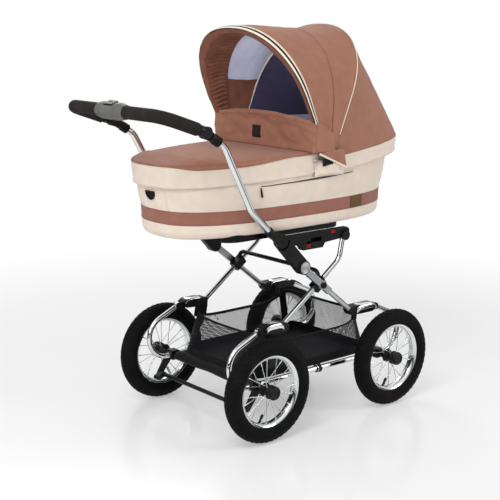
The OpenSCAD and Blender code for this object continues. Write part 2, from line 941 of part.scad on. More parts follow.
// Lower half of the handle hinge: a long cheek with a cup for the round button
module hinge_lower(s) {
    cup_r = hinge_button_d / 2 + 3;
    cup_lip = 4;
    cup_step = 1;
    reach = at(leg_b_point(flat_end_x), leg_b_y) - at(leg_b_point(hinge_low_x + 6), leg_b_y);
    color("#1a1a1c")
        on_side(s)
            difference() {
                union() {
                    plate(hinge_in, hinge_split - gap)
                        capsule(hinge_low, hinge, cup_r, hinge_r);
                    plate(hinge_in, hinge_out)
                        difference() {
                            capsule(hinge_low, hinge, cup_r, hinge_r);
                            translate(hinge)
                                circle(hinge_r + 2 * gap + 6);
                        }
                    pin(hinge, hinge_in, tube_y + hinge_half + 2, hinge_pin_d);
                    pin(hinge_low, hinge_out - 1, hinge_out + cup_lip, 2 * cup_r - cup_step);
                }
                pin(hinge_low, leg_b_y + flat_t / 2, hinge_out + cup_lip + 1, hinge_button_d + 2 * gap);
                translate(at(leg_b_point(hinge_low_x + 6), leg_b_y))
                    rotate([0, acos(reach[2] / norm(reach)), 0])
                        translate([-flat_w / 2 - snug, -flat_t / 2 - snug, -snug])
                            cube([flat_w + 2 * snug, flat_t + 2 * snug, norm(reach)]);
            }
}

// Round silver button that unlocks the hinge
module hinge_button(s) {
    face = hinge_out + 5;
    back = leg_b_y + flat_t / 2 + hinge_button_travel + gap;
    dish_r = 60;
    dish_depth = 2;
    color("#cfd1d4")
        on_side(s)
            difference() {
                pin(hinge_low, back, face, hinge_button_d);
                translate([hinge_low[0], face + dish_r - dish_depth, hinge_low[1]])
                    sphere(dish_r, $fn = 96);
            }
}

// Upper half of the handle hinge: a disc with a socket for the tube.
// Where the body is wider than the frame, a boss carries the socket out beside it.
module hinge_upper(s) {
    socket_wall = 2;
    boss_wall = 4;
    socket_d = handle_d + 5;
    socket_l = 22;
    socket_end = 5;
    dir = unit(tube_low - tube_start);
    color("#1a1a1c")
        on_side(s)
            difference() {
                union() {
                    plate(tube_y + gap, tube_y + hinge_half)
                        capsule(hinge, tube_start, hinge_r, handle_d / 2 + socket_wall);
                    if (tube_y > leg_b_y)
                        pin(hinge, hinge_split + gap, tube_y + 2 * gap, hinge_pin_d + 2 * boss_wall);
                    stick(at(tube_start - socket_end * dir, tube_y),
                        at(tube_start + socket_l * dir, tube_y), socket_d);
                }
                pin(hinge, hinge_in, tube_y + hinge_half + 3, hinge_pin_d + 2 * run_fit);
                handle_path(handle_d + snug);
            }
}

module handle_path(d) {
    bent_tube([
        at(tube_start, tube_y), at(tube_low, tube_y + tube_low_spread), at(tube_high, tube_high_y),
        at(grip_knuckle - tube_tip_gap * unit(grip_knuckle - tube_high), tube_tip_y)], tube_bend_r, d);
}

module handle_tube(s) {
    color("#c9cbd0")
        on_side(s)
            handle_path(handle_d);
}

// Lower half of the grip knuckle: a ribbed collar over the tube and a toothed disc
module knuckle(s) {
    up = unit(grip_knuckle - tube_high);
    foot_gap = 6;
    tip_gap = 20;
    foot = at(tube_high + foot_gap * up, tube_high_y + tube_foot_spread);
    tip = at(grip_knuckle - tip_gap * up, tube_tip_y);
    collar_start = 18;
    collar_wall = 3;
    ring_step = 8;
    ring_w = 4;
    ring_wall = 4.5;
    arm_gap = 22;
    arm_wall = 2;
    disc_in = knuckle_y - knuckle_half - 4;
    dir = unit(tip - foot);
    color("#19191b")
        on_side(s)
            difference() {
                union() {
                    stick(foot + collar_start * dir, tip, handle_d + 2 * collar_wall);
                    for (i = [0:2])
                        stick(foot + (collar_start + i * ring_step) * dir,
                            foot + (collar_start + i * ring_step + ring_w) * dir, handle_d + 2 * ring_wall);
                    plate(disc_in, knuckle_y - gap / 2)
                        capsule(grip_knuckle - arm_gap * up, grip_knuckle, handle_d / 2 + arm_wall, knuckle_r);
                    pin(grip_knuckle, knuckle_y - knuckle_half, knuckle_y + knuckle_half, hinge_pin_d);
                }
                handle_path(handle_d + snug);
            }
}

// Grip: a U-shaped tube on two knuckle discs, with foam and a grey unit in its middle

function grip_points() = [
    at(grip_knuckle + grip_start * grip_dir, -grip_arm_y), at(crossbar, -grip_arm_y),
    at(crossbar, grip_arm_y), at(grip_knuckle + grip_start * grip_dir, grip_arm_y)];

module grip_frame() {
    sleeve_l = 12.5;
    sleeve_wall = 4;
    sleeve_start = knuckle_r + 1.5;
    arm_end = knuckle_r + 4;
    color("#19191b") {
        bent_tube(grip_points(), grip_bend_r, grip_tube_d);
        for (s = [-1, 1])
            on_side(s)
                difference() {
                    union() {
                        plate(knuckle_y + gap / 2, knuckle_y + knuckle_half + gap)
                            capsule(grip_knuckle, grip_knuckle + arm_end * grip_dir,
                                knuckle_r, grip_tube_d / 2);
                        stick(at(grip_knuckle + sleeve_start * grip_dir, grip_arm_y),
                            at(grip_knuckle + (sleeve_start + sleeve_l) * grip_dir, grip_arm_y),
                            grip_tube_d + 2 * sleeve_wall);
                    }
                    pin(grip_knuckle, knuckle_y - 1, knuckle_y + knuckle_half + 2, hinge_pin_d + 2 * run_fit);
                }
    }
}

module grip_foam() {
    points = grip_points();
    arm_gap = 16;
    color("#222224")
        for (s = [-1, 1])
            on_side(s)
                bent_tube([points[3] + arm_gap * at(grip_dir, 0), points[2],
                    at(crossbar, grip_unit_len / 2 + gap)], grip_bend_r, foam_d, grip_tube_d + snug);
}

// Grey unit: a sleeve with a thicker middle and a slot for its button
module grip_unit() {
    half = grip_unit_len / 2;
    end_d = foam_d + 3;
    bore_r = grip_tube_d / 2 + touch;
    taper = 22;
    color("#5f5f5d")
        difference() {
            translate(at(crossbar, 0))
                rotate([-90, 0, 0])
                    rotate_extrude()
                        polygon([
                            [bore_r, -half], [end_d / 2, -half], [grip_unit_d / 2, taper - half],
                            [grip_unit_d / 2, half - taper], [end_d / 2, half], [bore_r, half]]);
            translate(at(crossbar, 0))
                rotate([0, -grip_rise, 0])
                    translate([-grip_slot_l / 2, -grip_slot_w / 2, grip_unit_d / 2 - grip_slot_t])
                        cube([grip_slot_l, grip_slot_w, grip_unit_d]);
        }
}

// Button in the grey unit's slot
module grip_button() {
    button_l = grip_slot_l - 2 * gap;
    button_w = grip_slot_w - 2 * gap;
    button_t = 6;
    button_rise = 2;
    dish_r = 29;
    dish_t = 1;
    top = grip_unit_d / 2 + button_rise;
    color("#3a3a3b")
        translate(at(crossbar, 0))
            rotate([0, -grip_rise, 0])
                difference() {
                    translate([-button_l / 2, -button_w / 2, top - button_t])
                        cube([button_l, button_w, button_t]);
                    translate([0, 0, top + dish_r - dish_t])
                        sphere(dish_r, $fn = 96);
                }
}

// Bassinet

module base_pan() {
    top = body_bottom - gap;
    low = top - pan_t + gap;
    half = pan_w / 2;
    corner = 60;
    pocket_inset = 110;
    pocket_mid = -60;
    pocket_l = 70;
    pocket_w = 100;
    pocket_y = 70;
    pocket_t = 6;
    color("#1b1b1d")
        translate([0, 0, low])
            difference() {
                linear_extrude(top - low)
                    union() {
                        translate([pan_l[0] + corner, -half])
                            square([pan_l[1] - pan_l[0] - 2 * corner, pan_w]);
                        translate([pan_l[0], -half + corner])
                            square([pan_l[1] - pan_l[0], pan_w - 2 * corner]);
                        for (x = [pan_l[0] + corner, pan_l[1] - corner], y = [-half + corner, half - corner])
                            translate([x, y])
                                circle(corner);
                    }
                for (x = [pan_l[0] + pocket_inset, pocket_mid, pan_l[1] - pocket_inset])
                    translate([x, 0, -1])
                        linear_extrude(pocket_t + 1)
                            for (y = [-pocket_y, pocket_y])
                                translate([0, y])
                                    square([pocket_l, pocket_w], center = true);
            }
}

// Levels of the body: height above the underside, then what half its length and half its width lack there
function body_levels() = [
    [0, -edge_l, -edge_w],
    [edge_h, -0.45 * edge_l, -0.44 * edge_w],
    [2.7 * edge_h, -0.18 * edge_l, -0.16 * edge_w],
    [stripe_low, -0.09 * edge_l, -0.06 * edge_w],
    [stripe_low + stripe_h, 0, 0]];

function body_ring(level, inset) =
    outline_ring(body_mid, body_l / 2 + level[1] - inset, body_w / 2 + level[2] - inset,
        body_bottom + level[0], 0);

function body_top_ring(inset) =
    outline_ring(body_top_mid, body_top_l - inset, body_top_w - inset, body_rim, rim_tilt);

function body_upper_ring(inset) =
    outline_ring(upper_mid, upper_l - inset, body_w / 2 + upper_flare_w - inset, body_rim - skirt_h, rim_tilt);

module body_shell() {
    floor_z = body_bottom + body_wall;
    outer = [for (level = body_levels()) body_ring(level, 0)];
    inner = [for (i = [4, 3]) body_ring(body_levels()[i], body_wall)];
    floor_l = body_l / 2 - body_wall - floor_inset_l;
    floor_w = body_w / 2 - body_wall - floor_inset_w;
    floor_ring = outline_ring(body_mid, floor_l, floor_w, floor_z, 0);
    color("#e7dccd")
        skin(concat(outer, [body_upper_ring(0), body_top_ring(0)],
            [body_top_ring(body_wall), body_upper_ring(body_wall)], inner, [floor_ring]));
}

// Sewn stripe round the body
module stripe_band() {
    low = body_levels()[3];
    high = body_levels()[4];
    start = gap;
    lift = stripe_t + gap;
    color("#a06658")
        difference() {
            skin([
                body_ring(low, -lift), body_ring(high, -lift)]);
            skin([
                body_ring(low, -start) - [for (i = [0:ring_count - 1]) [0, 0, 1]],
                body_ring(high, -start) + [for (i = [0:ring_count - 1]) [0, 0, 1]]]);
        }
}

// Band that hangs along a part of an outline between two angles, with its own lower and upper heights
module skirt(from, to, steps, low, low_tilt, high, high_tilt) {
    rings = [for (i = [0:steps])
        let (
            t = from + (to - from) * i / steps,
            a = outline_at(skirt_mid, skirt_l - skirt_tuck_l, skirt_w - skirt_tuck_w, t),
            b = outline_at(skirt_mid, skirt_l, skirt_w, t),
            c = outline_at(skirt_mid, skirt_l - skirt_t, skirt_w - skirt_t, t),
            d = outline_at(skirt_mid, skirt_l - skirt_tuck_l - skirt_t, skirt_w - skirt_tuck_w - skirt_t, t))
            [[a[0], a[1], low + low_tilt * a[0]], [b[0], b[1], high + high_tilt * b[0]],
                [c[0], c[1], high + high_tilt * c[0]], [d[0], d[1], low + low_tilt * d[0]]]];
    skin(rings, true);
}

module apron_skirt() {
    edge = outline_angle(skirt_mid, skirt_l, apron_skirt_end);
    color("#e7dccd")
        skirt(edge, 360 - edge, 36, skirt_top - skirt_h, rim_tilt, skirt_top - gap, rim_tilt);
}

module hood_skirt() {
    edge = outline_angle(skirt_mid, skirt_l, hood_skirt_start);
    color("#e7dccd")
        skirt(-edge, edge, 30, body_rim - skirt_h, hood_skirt_low_tilt, hood_hem - gap, hood_skirt_tilt);
}

// Apron: a softly crowned cover with broad folds, from the foot end to the wind flap.
// Two waves cross it aslant.
function apron_wave(x, v) =
    (1 - v * v) * sum([for (w = apron_waves) w[0] * sin(360 * x / w[1] + w[2] * v)]);

// Share of the crown at a station: it grows from the foot end and runs out flat under the wind flap
function apron_share(x, foot, run) =
    min(1, (x - foot) / run) * max(0, 1 - pow(max(0, (x - apron_full) / (apron_flat - apron_full)), 2));

module apron() {
    stations = 22;
    across = 14;
    foot = skirt_mid - skirt_l + 5;
    crown_run = 90;
    wave_run = 120;
    tops = [for (k = [0:stations])
        let (
            u = k / stations,
            x = foot + (apron_end - foot) * (1 - cos(90 * pow(u, 0.85))),
            w = max(14, half_width(skirt_mid, skirt_l, skirt_w, x) - 0.5),
            base = skirt_top + rim_tilt * x,
            rise = apron_crown * apron_share(x, foot, crown_run))
            concat(
                [for (j = [0:across])
                    let (v = -1 + 2 * j / across)
                        [x, w * v, base + apron_lap + rise * (1 - pow(abs(v), 3)) + apron_wave(x, v)
                            * apron_share(x, foot, wave_run)]],
                [for (j = [across:-1:0])
                    let (v = -1 + 2 * j / across)
                        [x, w * v, base + gap + max(0, rise * (1 - pow(abs(v), 3)) - 6) * (1 - pow(v, 8))]])];
    color("#a26c5a")
        skin([for (ring = tops) [for (i = [len(ring) - 1:-1:0]) ring[i]]], true);
}

// Wind flap: an upright panel with a curved upper edge, hinged on the apron's fold
module wind_flap() {
    steps = 20;
    rings = [for (i = [0:steps])
        let (
            v = -1 + 2 * i / steps,
            y = flap_half * v,
            top = flap_z + flap_h - flap_side_drop * pow(abs(v), 2.4),
            bow = flap_bow * sin(540 * v) * (1 - v * v))
            [[flap_x - flap_t / 2 + bow, y, flap_z], [flap_x + flap_t / 2 + bow, y, flap_z],
                [flap_x + flap_t / 2 + bow, y, top], [flap_x - flap_t / 2 + bow, y, top]]];
    color("#a26c5a")
        skin(rings, true);
}

// Hood arch in its own plane: distance along Y and height, from one leg over the top to the other
function arch(half_w, height, foot) =
    let (leg = height - half_w)
        concat(
            [[-half_w, foot], [-half_w, (foot + leg) / 2]],
            [for (i = [0:arch_steps])
                let (t = 180 - 180 * i / arch_steps)
                    [half_w * signed_pow(cos(t), arch_power), leg + half_w * signed_pow(sin(t), arch_power)]],
            [[half_w, (foot + leg) / 2], [half_w, foot]]);

// Places a point of the arch's plane at a lean, positive towards the head end
function lean(p, angle) = [hood_x + p[1] * sin(angle), p[0], hood_z + p[1] * cos(angle)];

module hoop(half_w, height, d, foot) {
    bent_tube([[0, -half_w, foot], [0, -half_w, height], [0, half_w, height], [0, half_w, foot]],
        half_w - 2, d);
}

module hood_front_hoop() {
    eye_d = 20;
    color("#2a2a2c")
        translate([hood_x, 0, hood_z])
            rotate([0, -hood_front_lean, 0])
                difference() {
                    union() {
                        hoop(hood_front_y, hood_r, hood_front_d, 0);
                        for (s = [-1, 1])
                            on_side(s)
                                pin([0, 0], hood_front_y - hood_front_d / 2,
                                    hood_front_y + hood_front_d / 2, eye_d);
                    }
                    for (s = [-1, 1])
                        on_side(s)
                            pin([0, 0], hood_front_y - eye_d, hood_front_y + eye_d, hood_pin_d + 2 * run_fit);
                }
}

// Rear hoop, with its seats on the body and the pins that carry the front hoop
module hood_rear_hoop() {
    seat = 26;
    seat_d = 9;
    shell_y = body_top_w - 0.5;
    strap_t = 1.5;
    strap_r = 7;
    pin_root = 0.8;
    head_y = hood_front_y + hood_front_d / 2;
    head_t = 3;
    head_d = 15;
    color("#2a2a2c")
        translate([hood_x, 0, hood_z]) {
            rotate([0, hood_rear_lean, 0]) {
                hoop(hood_rear_y, hood_r, hood_rear_d, seat);
                for (s = [-1, 1])
                    on_side(s) {
                        pin([0, seat], shell_y, hood_rear_y + hood_rear_d / 2, seat_d);
                        plate(shell_y, shell_y + strap_t)
                            capsule([0, 0], [0, seat], strap_r, strap_r - 1);
                    }
            }
            for (s = [-1, 1])
                on_side(s) {
                    pin([0, 0], shell_y - pin_root, head_y + head_t, hood_pin_d);
                    pin([0, 0], head_y + gap, head_y + head_t, head_d);
                }
        }
}

// Section of the front canopy at a lean: the outer arch forwards, the inner arch back
function canopy_ring(angle, pull) =
    let (
        half = hood_front_cloth_y,
        top = hood_r + hood_front_d / 2 + cloth_gap,
        inner = arch(half, top, hood_leg_start),
        outer = arch(half + hood_sheet, top + hood_sheet, hood_leg_start))
        concat(
            [for (p = outer) lean([p[0], p[1] * pull], angle)],
            [for (i = [len(inner) - 1:-1:0]) lean([inner[i][0], inner[i][1] * pull], angle)]);

// The cloth passes over the front hoop at its full height, then dips between the two hoops
module hood_front_canopy() {
    steps = 6;
    over_hoop = 1.2;
    before_rear = 0.6;
    dip = 0.012;
    first = over_hoop - hood_front_lean;
    last = hood_rear_lean - before_rear;
    mid = (first + last) / 2;
    color("#a26c5a")
        skin(concat(
            [canopy_ring(-over_hoop - hood_front_lean, 1)],
            [for (k = [0:steps])
                let (
                    u = k / steps,
                    angle = first + (last - first) * u,
                    chord = cos((last - first) / 2) / cos(angle - mid),
                    slack = canopy_slack * (1 - sin(180 * u)))
                    canopy_ring(angle, min(1, chord + slack) - dip * sin(180 * u))]), true);
}

// Point of the rear canopy between the rear hoop and the head end's hem
function head_point(i, count, u, inset) =
    let (
        ring = arch(hood_rear_cloth_y + hood_sheet - inset,
            hood_r + hood_rear_d / 2 + cloth_gap + hood_sheet - inset, hood_leg_start),
        start = lean(ring[i], hood_rear_lean),
        s = -1 + 2 * i / (count - 1),
        edge = outline_angle(skirt_mid, skirt_l, hood_x + hood_leg_start),
        rim = outline_at(skirt_mid, skirt_l - inset, skirt_w - inset, edge * s),
        finish = [rim[0], rim[1], hood_hem + hood_skirt_tilt * rim[0]],
        ctrl = [start[0] + head_fullness * (finish[0] - start[0]), (start[1] + finish[1]) / 2 * head_bulge,
            start[2] + head_drop * (finish[2] - start[2])])
        start * (1 - u) * (1 - u) + ctrl * 2 * u * (1 - u) + finish * u * u;

module hood_rear_canopy() {
    steps = 8;
    count = len(arch(1, 2, 0));
    color("#a26c5a")
        skin([for (k = [0:steps])
            let (u = k / steps)
                concat(
                    [for (i = [0:count - 1]) head_point(i, count, u, 0)],
                    [for (i = [count - 1:-1:0]) head_point(i, count, u, hood_sheet)])], true);
}

// Mattress with a crowned top and drawn-in sides
module mattress() {
    low = body_bottom + body_wall + gap;
    half_l = body_l / 2 - body_wall - mattress_room_l;
    half_w = body_w / 2 - body_wall - mattress_room_w;
    // Each ring of the profile: how far it lies inside the widest ring, and its share of the thickness
    profile = [[10, 0], [2, 0.15], [0, 0.5], [4, 0.82], [22, 0.95], [70, 1.05], [130, 1.1]];
    color("#d9d6d2")
        skin([for (p = profile)
            outline_ring(body_mid, half_l - p[0], half_w - p[0], low + p[1] * mattress_t, 0)]);
}

// Half-moon grip at the foot end, seated on the flat facet of the shell and leaning with it
module foot_grip() {
    grip_r = 21;
    grip_t = 7;
    grip_up = 42;
    band = 5;
    facet = pow(cos(180 / ring_count), 2 / outline_n);
    low = [body_mid - facet * body_l / 2, body_bottom + stripe_low + stripe_h];
    high_x = upper_mid - facet * upper_l;
    high = [high_x, body_rim - skirt_h + rim_tilt * high_x];
    seat = low + (high - low) * grip_up / (high[1] - low[1]);
    color("#2b2a28")
        translate(at(seat, 0))
            rotate([0, atan2(high[0] - low[0], high[1] - low[1]), 0])
                translate([-grip_t - gap, 0, 0])
                    rotate([90, 0, 90])
                        linear_extrude(grip_t)
                            difference() {
                                circle(grip_r);
                                translate([-grip_r - 1, band])
                                    square([2 * grip_r + 2, 2 * grip_r]);
                                difference() {
                                    circle(grip_r - band);
                                    translate([-grip_r, 0])
                                        square([2 * grip_r, 2 * grip_r]);
                                }
                            }
}

// Basket

function basket_ring(half_l, half_w, z) =
    [for (i = [0:basket_points - 1])
        let (t = 360 * (i + 0.5) / basket_points)
            [half_l * signed_pow(cos(t), 2 / basket_n), half_w * signed_pow(sin(t), 2 / basket_n), z]];

// How far a wall has leaned in at a height above the floor
function wall_lean(lean, h) = lean * h / (basket_wall_h + net_h);

module basket_tray() {
    half_l = basket_l / 2;
    half_w = basket_w / 2;
    top = basket_z + basket_wall_h;
    foot = 6;
    in_l = wall_lean(end_lean, basket_wall_h);
    in_w = wall_lean(side_lean, basket_wall_h);
    color("#1c1c1e")
        skin([
            basket_ring(half_l - foot, half_w - foot, basket_z),
            basket_ring(half_l, half_w, basket_z + foot),
            basket_ring(half_l - in_l, half_w - in_w, top),
            basket_ring(half_l - in_l - basket_t, half_w - in_w - basket_t, top),
            basket_ring(half_l - basket_t, half_w - basket_t, basket_z + foot),
            basket_ring(half_l - foot - basket_t, half_w - foot - basket_t, basket_z + basket_t)]);
}

// One flat net panel with a bound edge: its foot is straight, its top sags between the corners
module net_panel(foot_half, top_half, height, columns, sag) {
    rim = 7;
    top_steps = 16;
    linear_extrude(net_t, center = true)
        difference() {
            polygon(concat(
                [[-foot_half, 0], [foot_half, 0]],
                [for (i = [0:top_steps])
                    let (v = 1 - 2 * i / top_steps)
                        [top_half * v, height - net_drop(v, sag)]]));
            for (i = [0:columns - 1], j = [0:net_rows - 1]) {
                v = -1 + 2 * (i + 0.5) / columns;
                room = height - net_drop(v, sag) - 2 * rim;
                z = rim + (j + 0.5) * room / net_rows;
                half = foot_half + (top_half - foot_half) * z / height - rim;
                translate([v * half, z])
                    square([2 * half / columns - net_strand, room / net_rows - net_strand], center = true);
            }
        }
}

// How far the net's top hangs below its corners
function net_drop(v, sag) = sag * (1 - pow(abs(v), 3));

// Webbing strap that hangs a corner of the net on the inner side of a spring unit
module basket_strap(x, unit_y) {
    strap_r = 1.2;
    tab_y = unit_y - unit_w / 2 - unit_cover_t - gap - strap_r;
    up = basket_z + basket_wall_h + net_h;
    edge_y = basket_w / 2 - side_lean - net_t;
    lap = 14;
    knee_rise = 6;
    foot = [edge_y, up - lap];
    knee = [tab_y, up + knee_rise];
    head = [tab_y, unit_out[1] + unit_r - strap_r];
    translate([x - strap_w / 2, 0, 0])
        rotate([90, 0, 90])
            linear_extrude(strap_w) {
                capsule(foot, knee, strap_r, strap_r);
                capsule(knee, head, strap_r, strap_r);
            }
}

module basket_net() {
    half_l = basket_l / 2;
    half_w = basket_w / 2;
    low = basket_z + basket_wall_h + gap + net_t / 4;
    in_l = wall_lean(end_lean, basket_wall_h);
    in_w = wall_lean(side_lean, basket_wall_h);
    side_tilt = atan(side_lean / (basket_wall_h + net_h));
    end_tilt = atan(end_lean / (basket_wall_h + net_h));
    strap_x = half_l - end_lean - corner_cut - strap_w / 2;
    color("#3a3a3d") {
        for (s = [-1, 1])
            on_side(s) {
                translate([0, half_w - in_w - net_t, low])
                    rotate([90 + side_tilt, 0, 0])
                        net_panel(half_l - in_l - corner_cut, half_l - end_lean - corner_cut,
                            net_h / cos(side_tilt), net_columns, side_sag);
                basket_strap(-strap_x, rear_unit_y);
                basket_strap(strap_x, front_unit_y);
            }
        for (e = [-1, 1])
            at_end(e)
                translate([-half_l + in_l + net_t, 0, low])
                    rotate([90 + end_tilt, 0, 90])
                        net_panel(half_w - in_w - corner_cut, half_w - side_lean - corner_cut,
                            net_h / cos(end_tilt), net_end_columns, end_sag);
    }
}

tyre(-1, 1);  // wheel_rl_tyre
rim(-1, 1);  // wheel_rl_rim
hub(-1, 1);  // wheel_rl_hub
tyre(-1, -1);  // wheel_rr_tyre
rim(-1, -1);  // wheel_rr_rim
hub(-1, -1);  // wheel_rr_hub
tyre(1, 1);  // wheel_fl_tyre
rim(1, 1);  // wheel_fl_rim
hub(1, 1);  // wheel_fl_hub
tyre(1, -1);  // wheel_fr_tyre
rim(1, -1);  // wheel_fr_rim
hub(1, -1);  // wheel_fr_hub
rear_runner(1);  // rear_runner_l
rear_runner(-1);  // rear_runner_r
front_runner(1);  // front_runner_l
front_runner(-1);  // front_runner_r
axle(-1);  // rear_axle
axle(1);  // front_axle
brake_bar();
leg_a(1);  // leg_a_l
leg_a(-1);  // leg_a_r
rear_unit(1);  // rear_unit_l
rear_unit(-1);  // rear_unit_r
lock_bar();
rail(1);  // rail_l
rail(-1);  // rail_r
release_levers();
leg_b(1);  // leg_b_l
leg_b(-1);  // leg_b_r
front_unit(1);  // front_unit_l
front_unit(-1);  // front_unit_r
hinge_lower(1);  // hinge_lower_l
hinge_lower(-1);  // hinge_lower_r
hinge_button(1);  // hinge_button_l
hinge_button(-1);  // hinge_button_r
hinge_upper(1);  // hinge_upper_l
hinge_upper(-1);  // hinge_upper_r
handle_tube(1);  // handle_tube_l
handle_tube(-1);  // handle_tube_r
knuckle(1);  // knuckle_l
knuckle(-1);  // knuckle_r
grip_frame();
grip_foam();
grip_unit();
grip_button();
base_pan();
body_shell();
stripe_band();
apron();
apron_skirt();
wind_flap();
hood_skirt();
hood_front_hoop();
hood_rear_hoop();
hood_front_canopy();
hood_rear_canopy();
mattress();
foot_grip();
basket_tray();
basket_net();
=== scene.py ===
# %% [markdown]
# This pram is a soft carrying cot on a folding chrome frame with four wire wheels.
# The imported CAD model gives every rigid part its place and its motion. This script dresses it:
# it makes the cloth, the piping, the tyres and the wires, and gives each CAD part a real finish.

# %% Load the frame
import math

import bpy
import numpy as np
from mathutils import Matrix, Quaternion, Vector, noise


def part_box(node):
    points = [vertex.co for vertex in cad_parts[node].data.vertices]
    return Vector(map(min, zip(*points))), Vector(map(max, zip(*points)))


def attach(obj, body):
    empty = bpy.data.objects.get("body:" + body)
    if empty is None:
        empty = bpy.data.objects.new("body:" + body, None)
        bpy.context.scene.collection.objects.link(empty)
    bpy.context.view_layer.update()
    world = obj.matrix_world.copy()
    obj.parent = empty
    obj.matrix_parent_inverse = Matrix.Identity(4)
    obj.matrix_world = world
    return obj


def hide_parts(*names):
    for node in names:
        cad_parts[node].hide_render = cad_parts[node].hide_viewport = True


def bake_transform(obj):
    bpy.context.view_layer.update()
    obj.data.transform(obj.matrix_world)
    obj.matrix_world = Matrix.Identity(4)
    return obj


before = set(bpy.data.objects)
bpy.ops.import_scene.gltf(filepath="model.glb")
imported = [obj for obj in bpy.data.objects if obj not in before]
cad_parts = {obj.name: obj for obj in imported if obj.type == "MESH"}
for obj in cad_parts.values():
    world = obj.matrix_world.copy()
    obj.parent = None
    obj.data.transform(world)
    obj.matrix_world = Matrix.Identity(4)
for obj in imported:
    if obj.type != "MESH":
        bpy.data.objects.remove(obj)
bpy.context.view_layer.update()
MM = 0.001

# %% [markdown]
# A camera that matches a photograph has the same place, direction and lens.
# They were worked out from the four wheels, whose size and places are known, and are plain numbers here.

# %% Camera
CAMERA_PLACE = Vector((-2.2662, -2.5309, 1.2193))
CAMERA_AZIMUTH = math.radians(-40.436)
CAMERA_ELEVATION = math.radians(12.095)
CAMERA_ROLL = math.radians(0.403)
LENS_MM = 79.67
SENSOR_MM = 36


def linked(name, data):
    """A new object in the scene."""
    made = bpy.data.objects.new(name, data)
    bpy.context.collection.objects.link(made)
    return made


camera = linked("camera", bpy.data.cameras.new("camera"))
camera.data.lens = LENS_MM
camera.data.sensor_width = SENSOR_MM
camera.location = CAMERA_PLACE
back = Vector((
    math.sin(CAMERA_AZIMUTH) * math.cos(CAMERA_ELEVATION),
    -math.cos(CAMERA_AZIMUTH) * math.cos(CAMERA_ELEVATION),
    math.sin(CAMERA_ELEVATION)))
camera.rotation_mode = "QUATERNION"
camera.rotation_quaternion = (-back).to_track_quat("-Z", "Y") @ Quaternion((0, 0, 1), CAMERA_ROLL)
bpy.context.scene.camera = camera
print("camera at", tuple(round(v, 3) for v in camera.location))

# %% [markdown]
# A mesh can be built by hand in edit mode, or from rows of points that a formula gives.
# Cloth and lathe-turned parts follow formulas, so one helper turns rows of points into a mesh.
# Its UV map is in metres along the cloth, so a weave keeps its real size on every piece.

# %% Meshes from rows of points
def look_out(points, faces, inside):
    """Tells whether faces look away from the point inside, or from the middle if inside is None."""
    corner = points[faces]
    normal = np.cross(corner[:, 2] - corner[:, 0], corner[:, 3] - corner[:, 1])
    middle = points.mean(axis=0) if inside is None else np.asarray(inside, float)
    return (normal * (corner.mean(axis=1) - middle)).sum() >= 0


def piece(name, points, faces, material, uv=None, inside=None):
    """Makes a smooth mesh object from points in millimetres and faces of four corners."""
    points = np.asarray(points, float)
    faces = np.asarray(faces, int)
    order = [0, 1, 2, 3] if look_out(points, faces, inside) else [3, 2, 1, 0]
    loops = []
    maps = []
    for k, face in enumerate(faces[:, order].tolist()):
        kept = [i for i in range(4) if face[i] != face[i - 1]]
        loops.append([face[i] for i in kept])
        if uv is not None:
            maps.extend(uv[k][order[i]] for i in kept)
    mesh = bpy.data.meshes.new(name)
    mesh.from_pydata((points * MM).tolist(), [], loops)
    if uv is not None:
        layer = mesh.uv_layers.new(name="UVMap")
        layer.data.foreach_set("uv", np.asarray(maps, np.float32).ravel())
    mesh.materials.append(material)
    mesh.shade_smooth()
    return linked(name, mesh)


def rows_piece(name, rows, material, ring=False, loop=False, inside=None, end_caps=False):
    """A surface through rows of points. ring joins each row's ends, loop joins the last row to the first."""
    rows = np.asarray(rows, float)
    count, width = rows.shape[:2]
    wide = np.concatenate([rows, rows[:, :1]], axis=1) if ring else rows
    tall = np.concatenate([wide, wide[:1]], axis=0) if loop else wide
    u = np.zeros(tall.shape[:2])
    v = np.zeros(tall.shape[:2])
    u[:, 1:] = np.cumsum(np.linalg.norm(np.diff(tall, axis=1), axis=2), axis=1)
    v[1:] = np.cumsum(np.linalg.norm(np.diff(tall, axis=0), axis=2), axis=0)
    u -= u.mean(axis=1, keepdims=True)
    flat = np.stack([u, v], axis=2) * MM
    faces = []
    uv = []
    for r in range(tall.shape[0] - 1):
        for c in range(tall.shape[1] - 1):
            spots = [(r, c), (r, c + 1), (r + 1, c + 1), (r + 1, c)]
            faces.append([(i % count) * width + j % width for i, j in spots])
            uv.append([flat[i, j] for i, j in spots])
    points = rows.reshape(-1, 3)
    if end_caps:
        for first in (0, (count - 1) * width):
            hub = len(points)
            points = np.concatenate([points, rows.reshape(-1, 3)[first:first + width].mean(axis=0)[None]])
            for c in range(width):
                a, b = first + c, first + (c + 1) % width
                faces.append([a, b, hub, hub] if first else [b, a, hub, hub])
                uv.append([(0.0, 0.0)] * 4)
    return piece(name, points, faces, material, uv, inside)


print("mesh helpers", 3)

# %% [markdown]
# A bar follows a path: at every step a ring of points stands square to it. The ring must not twist on the
# way, so its sides turn with the path as little as they can. A turned part is simpler: it is a profile that
# is set round an axis.

# %% Bars and turned parts
def along(path, closed=False):
    """Directions along a path, and two side directions that turn with it as little as they can."""
    path = np.asarray(path, float)
    if closed:
        step = np.roll(path, -1, axis=0) - np.roll(path, 1, axis=0)
    else:
        step = np.gradient(path, axis=0)
    step /= np.linalg.norm(step, axis=1)[:, None]
    start = np.array([0.0, 0.0, 1.0]) if abs(step[0][2]) < 0.9 else np.array([0.0, 1.0, 0.0])
    side = np.zeros_like(step)
    for i, d in enumerate(step):
        last = start if i == 0 else side[i - 1]
        flat = last - d * last.dot(d)
        side[i] = flat / np.linalg.norm(flat)
    return step, side, np.cross(step, side)


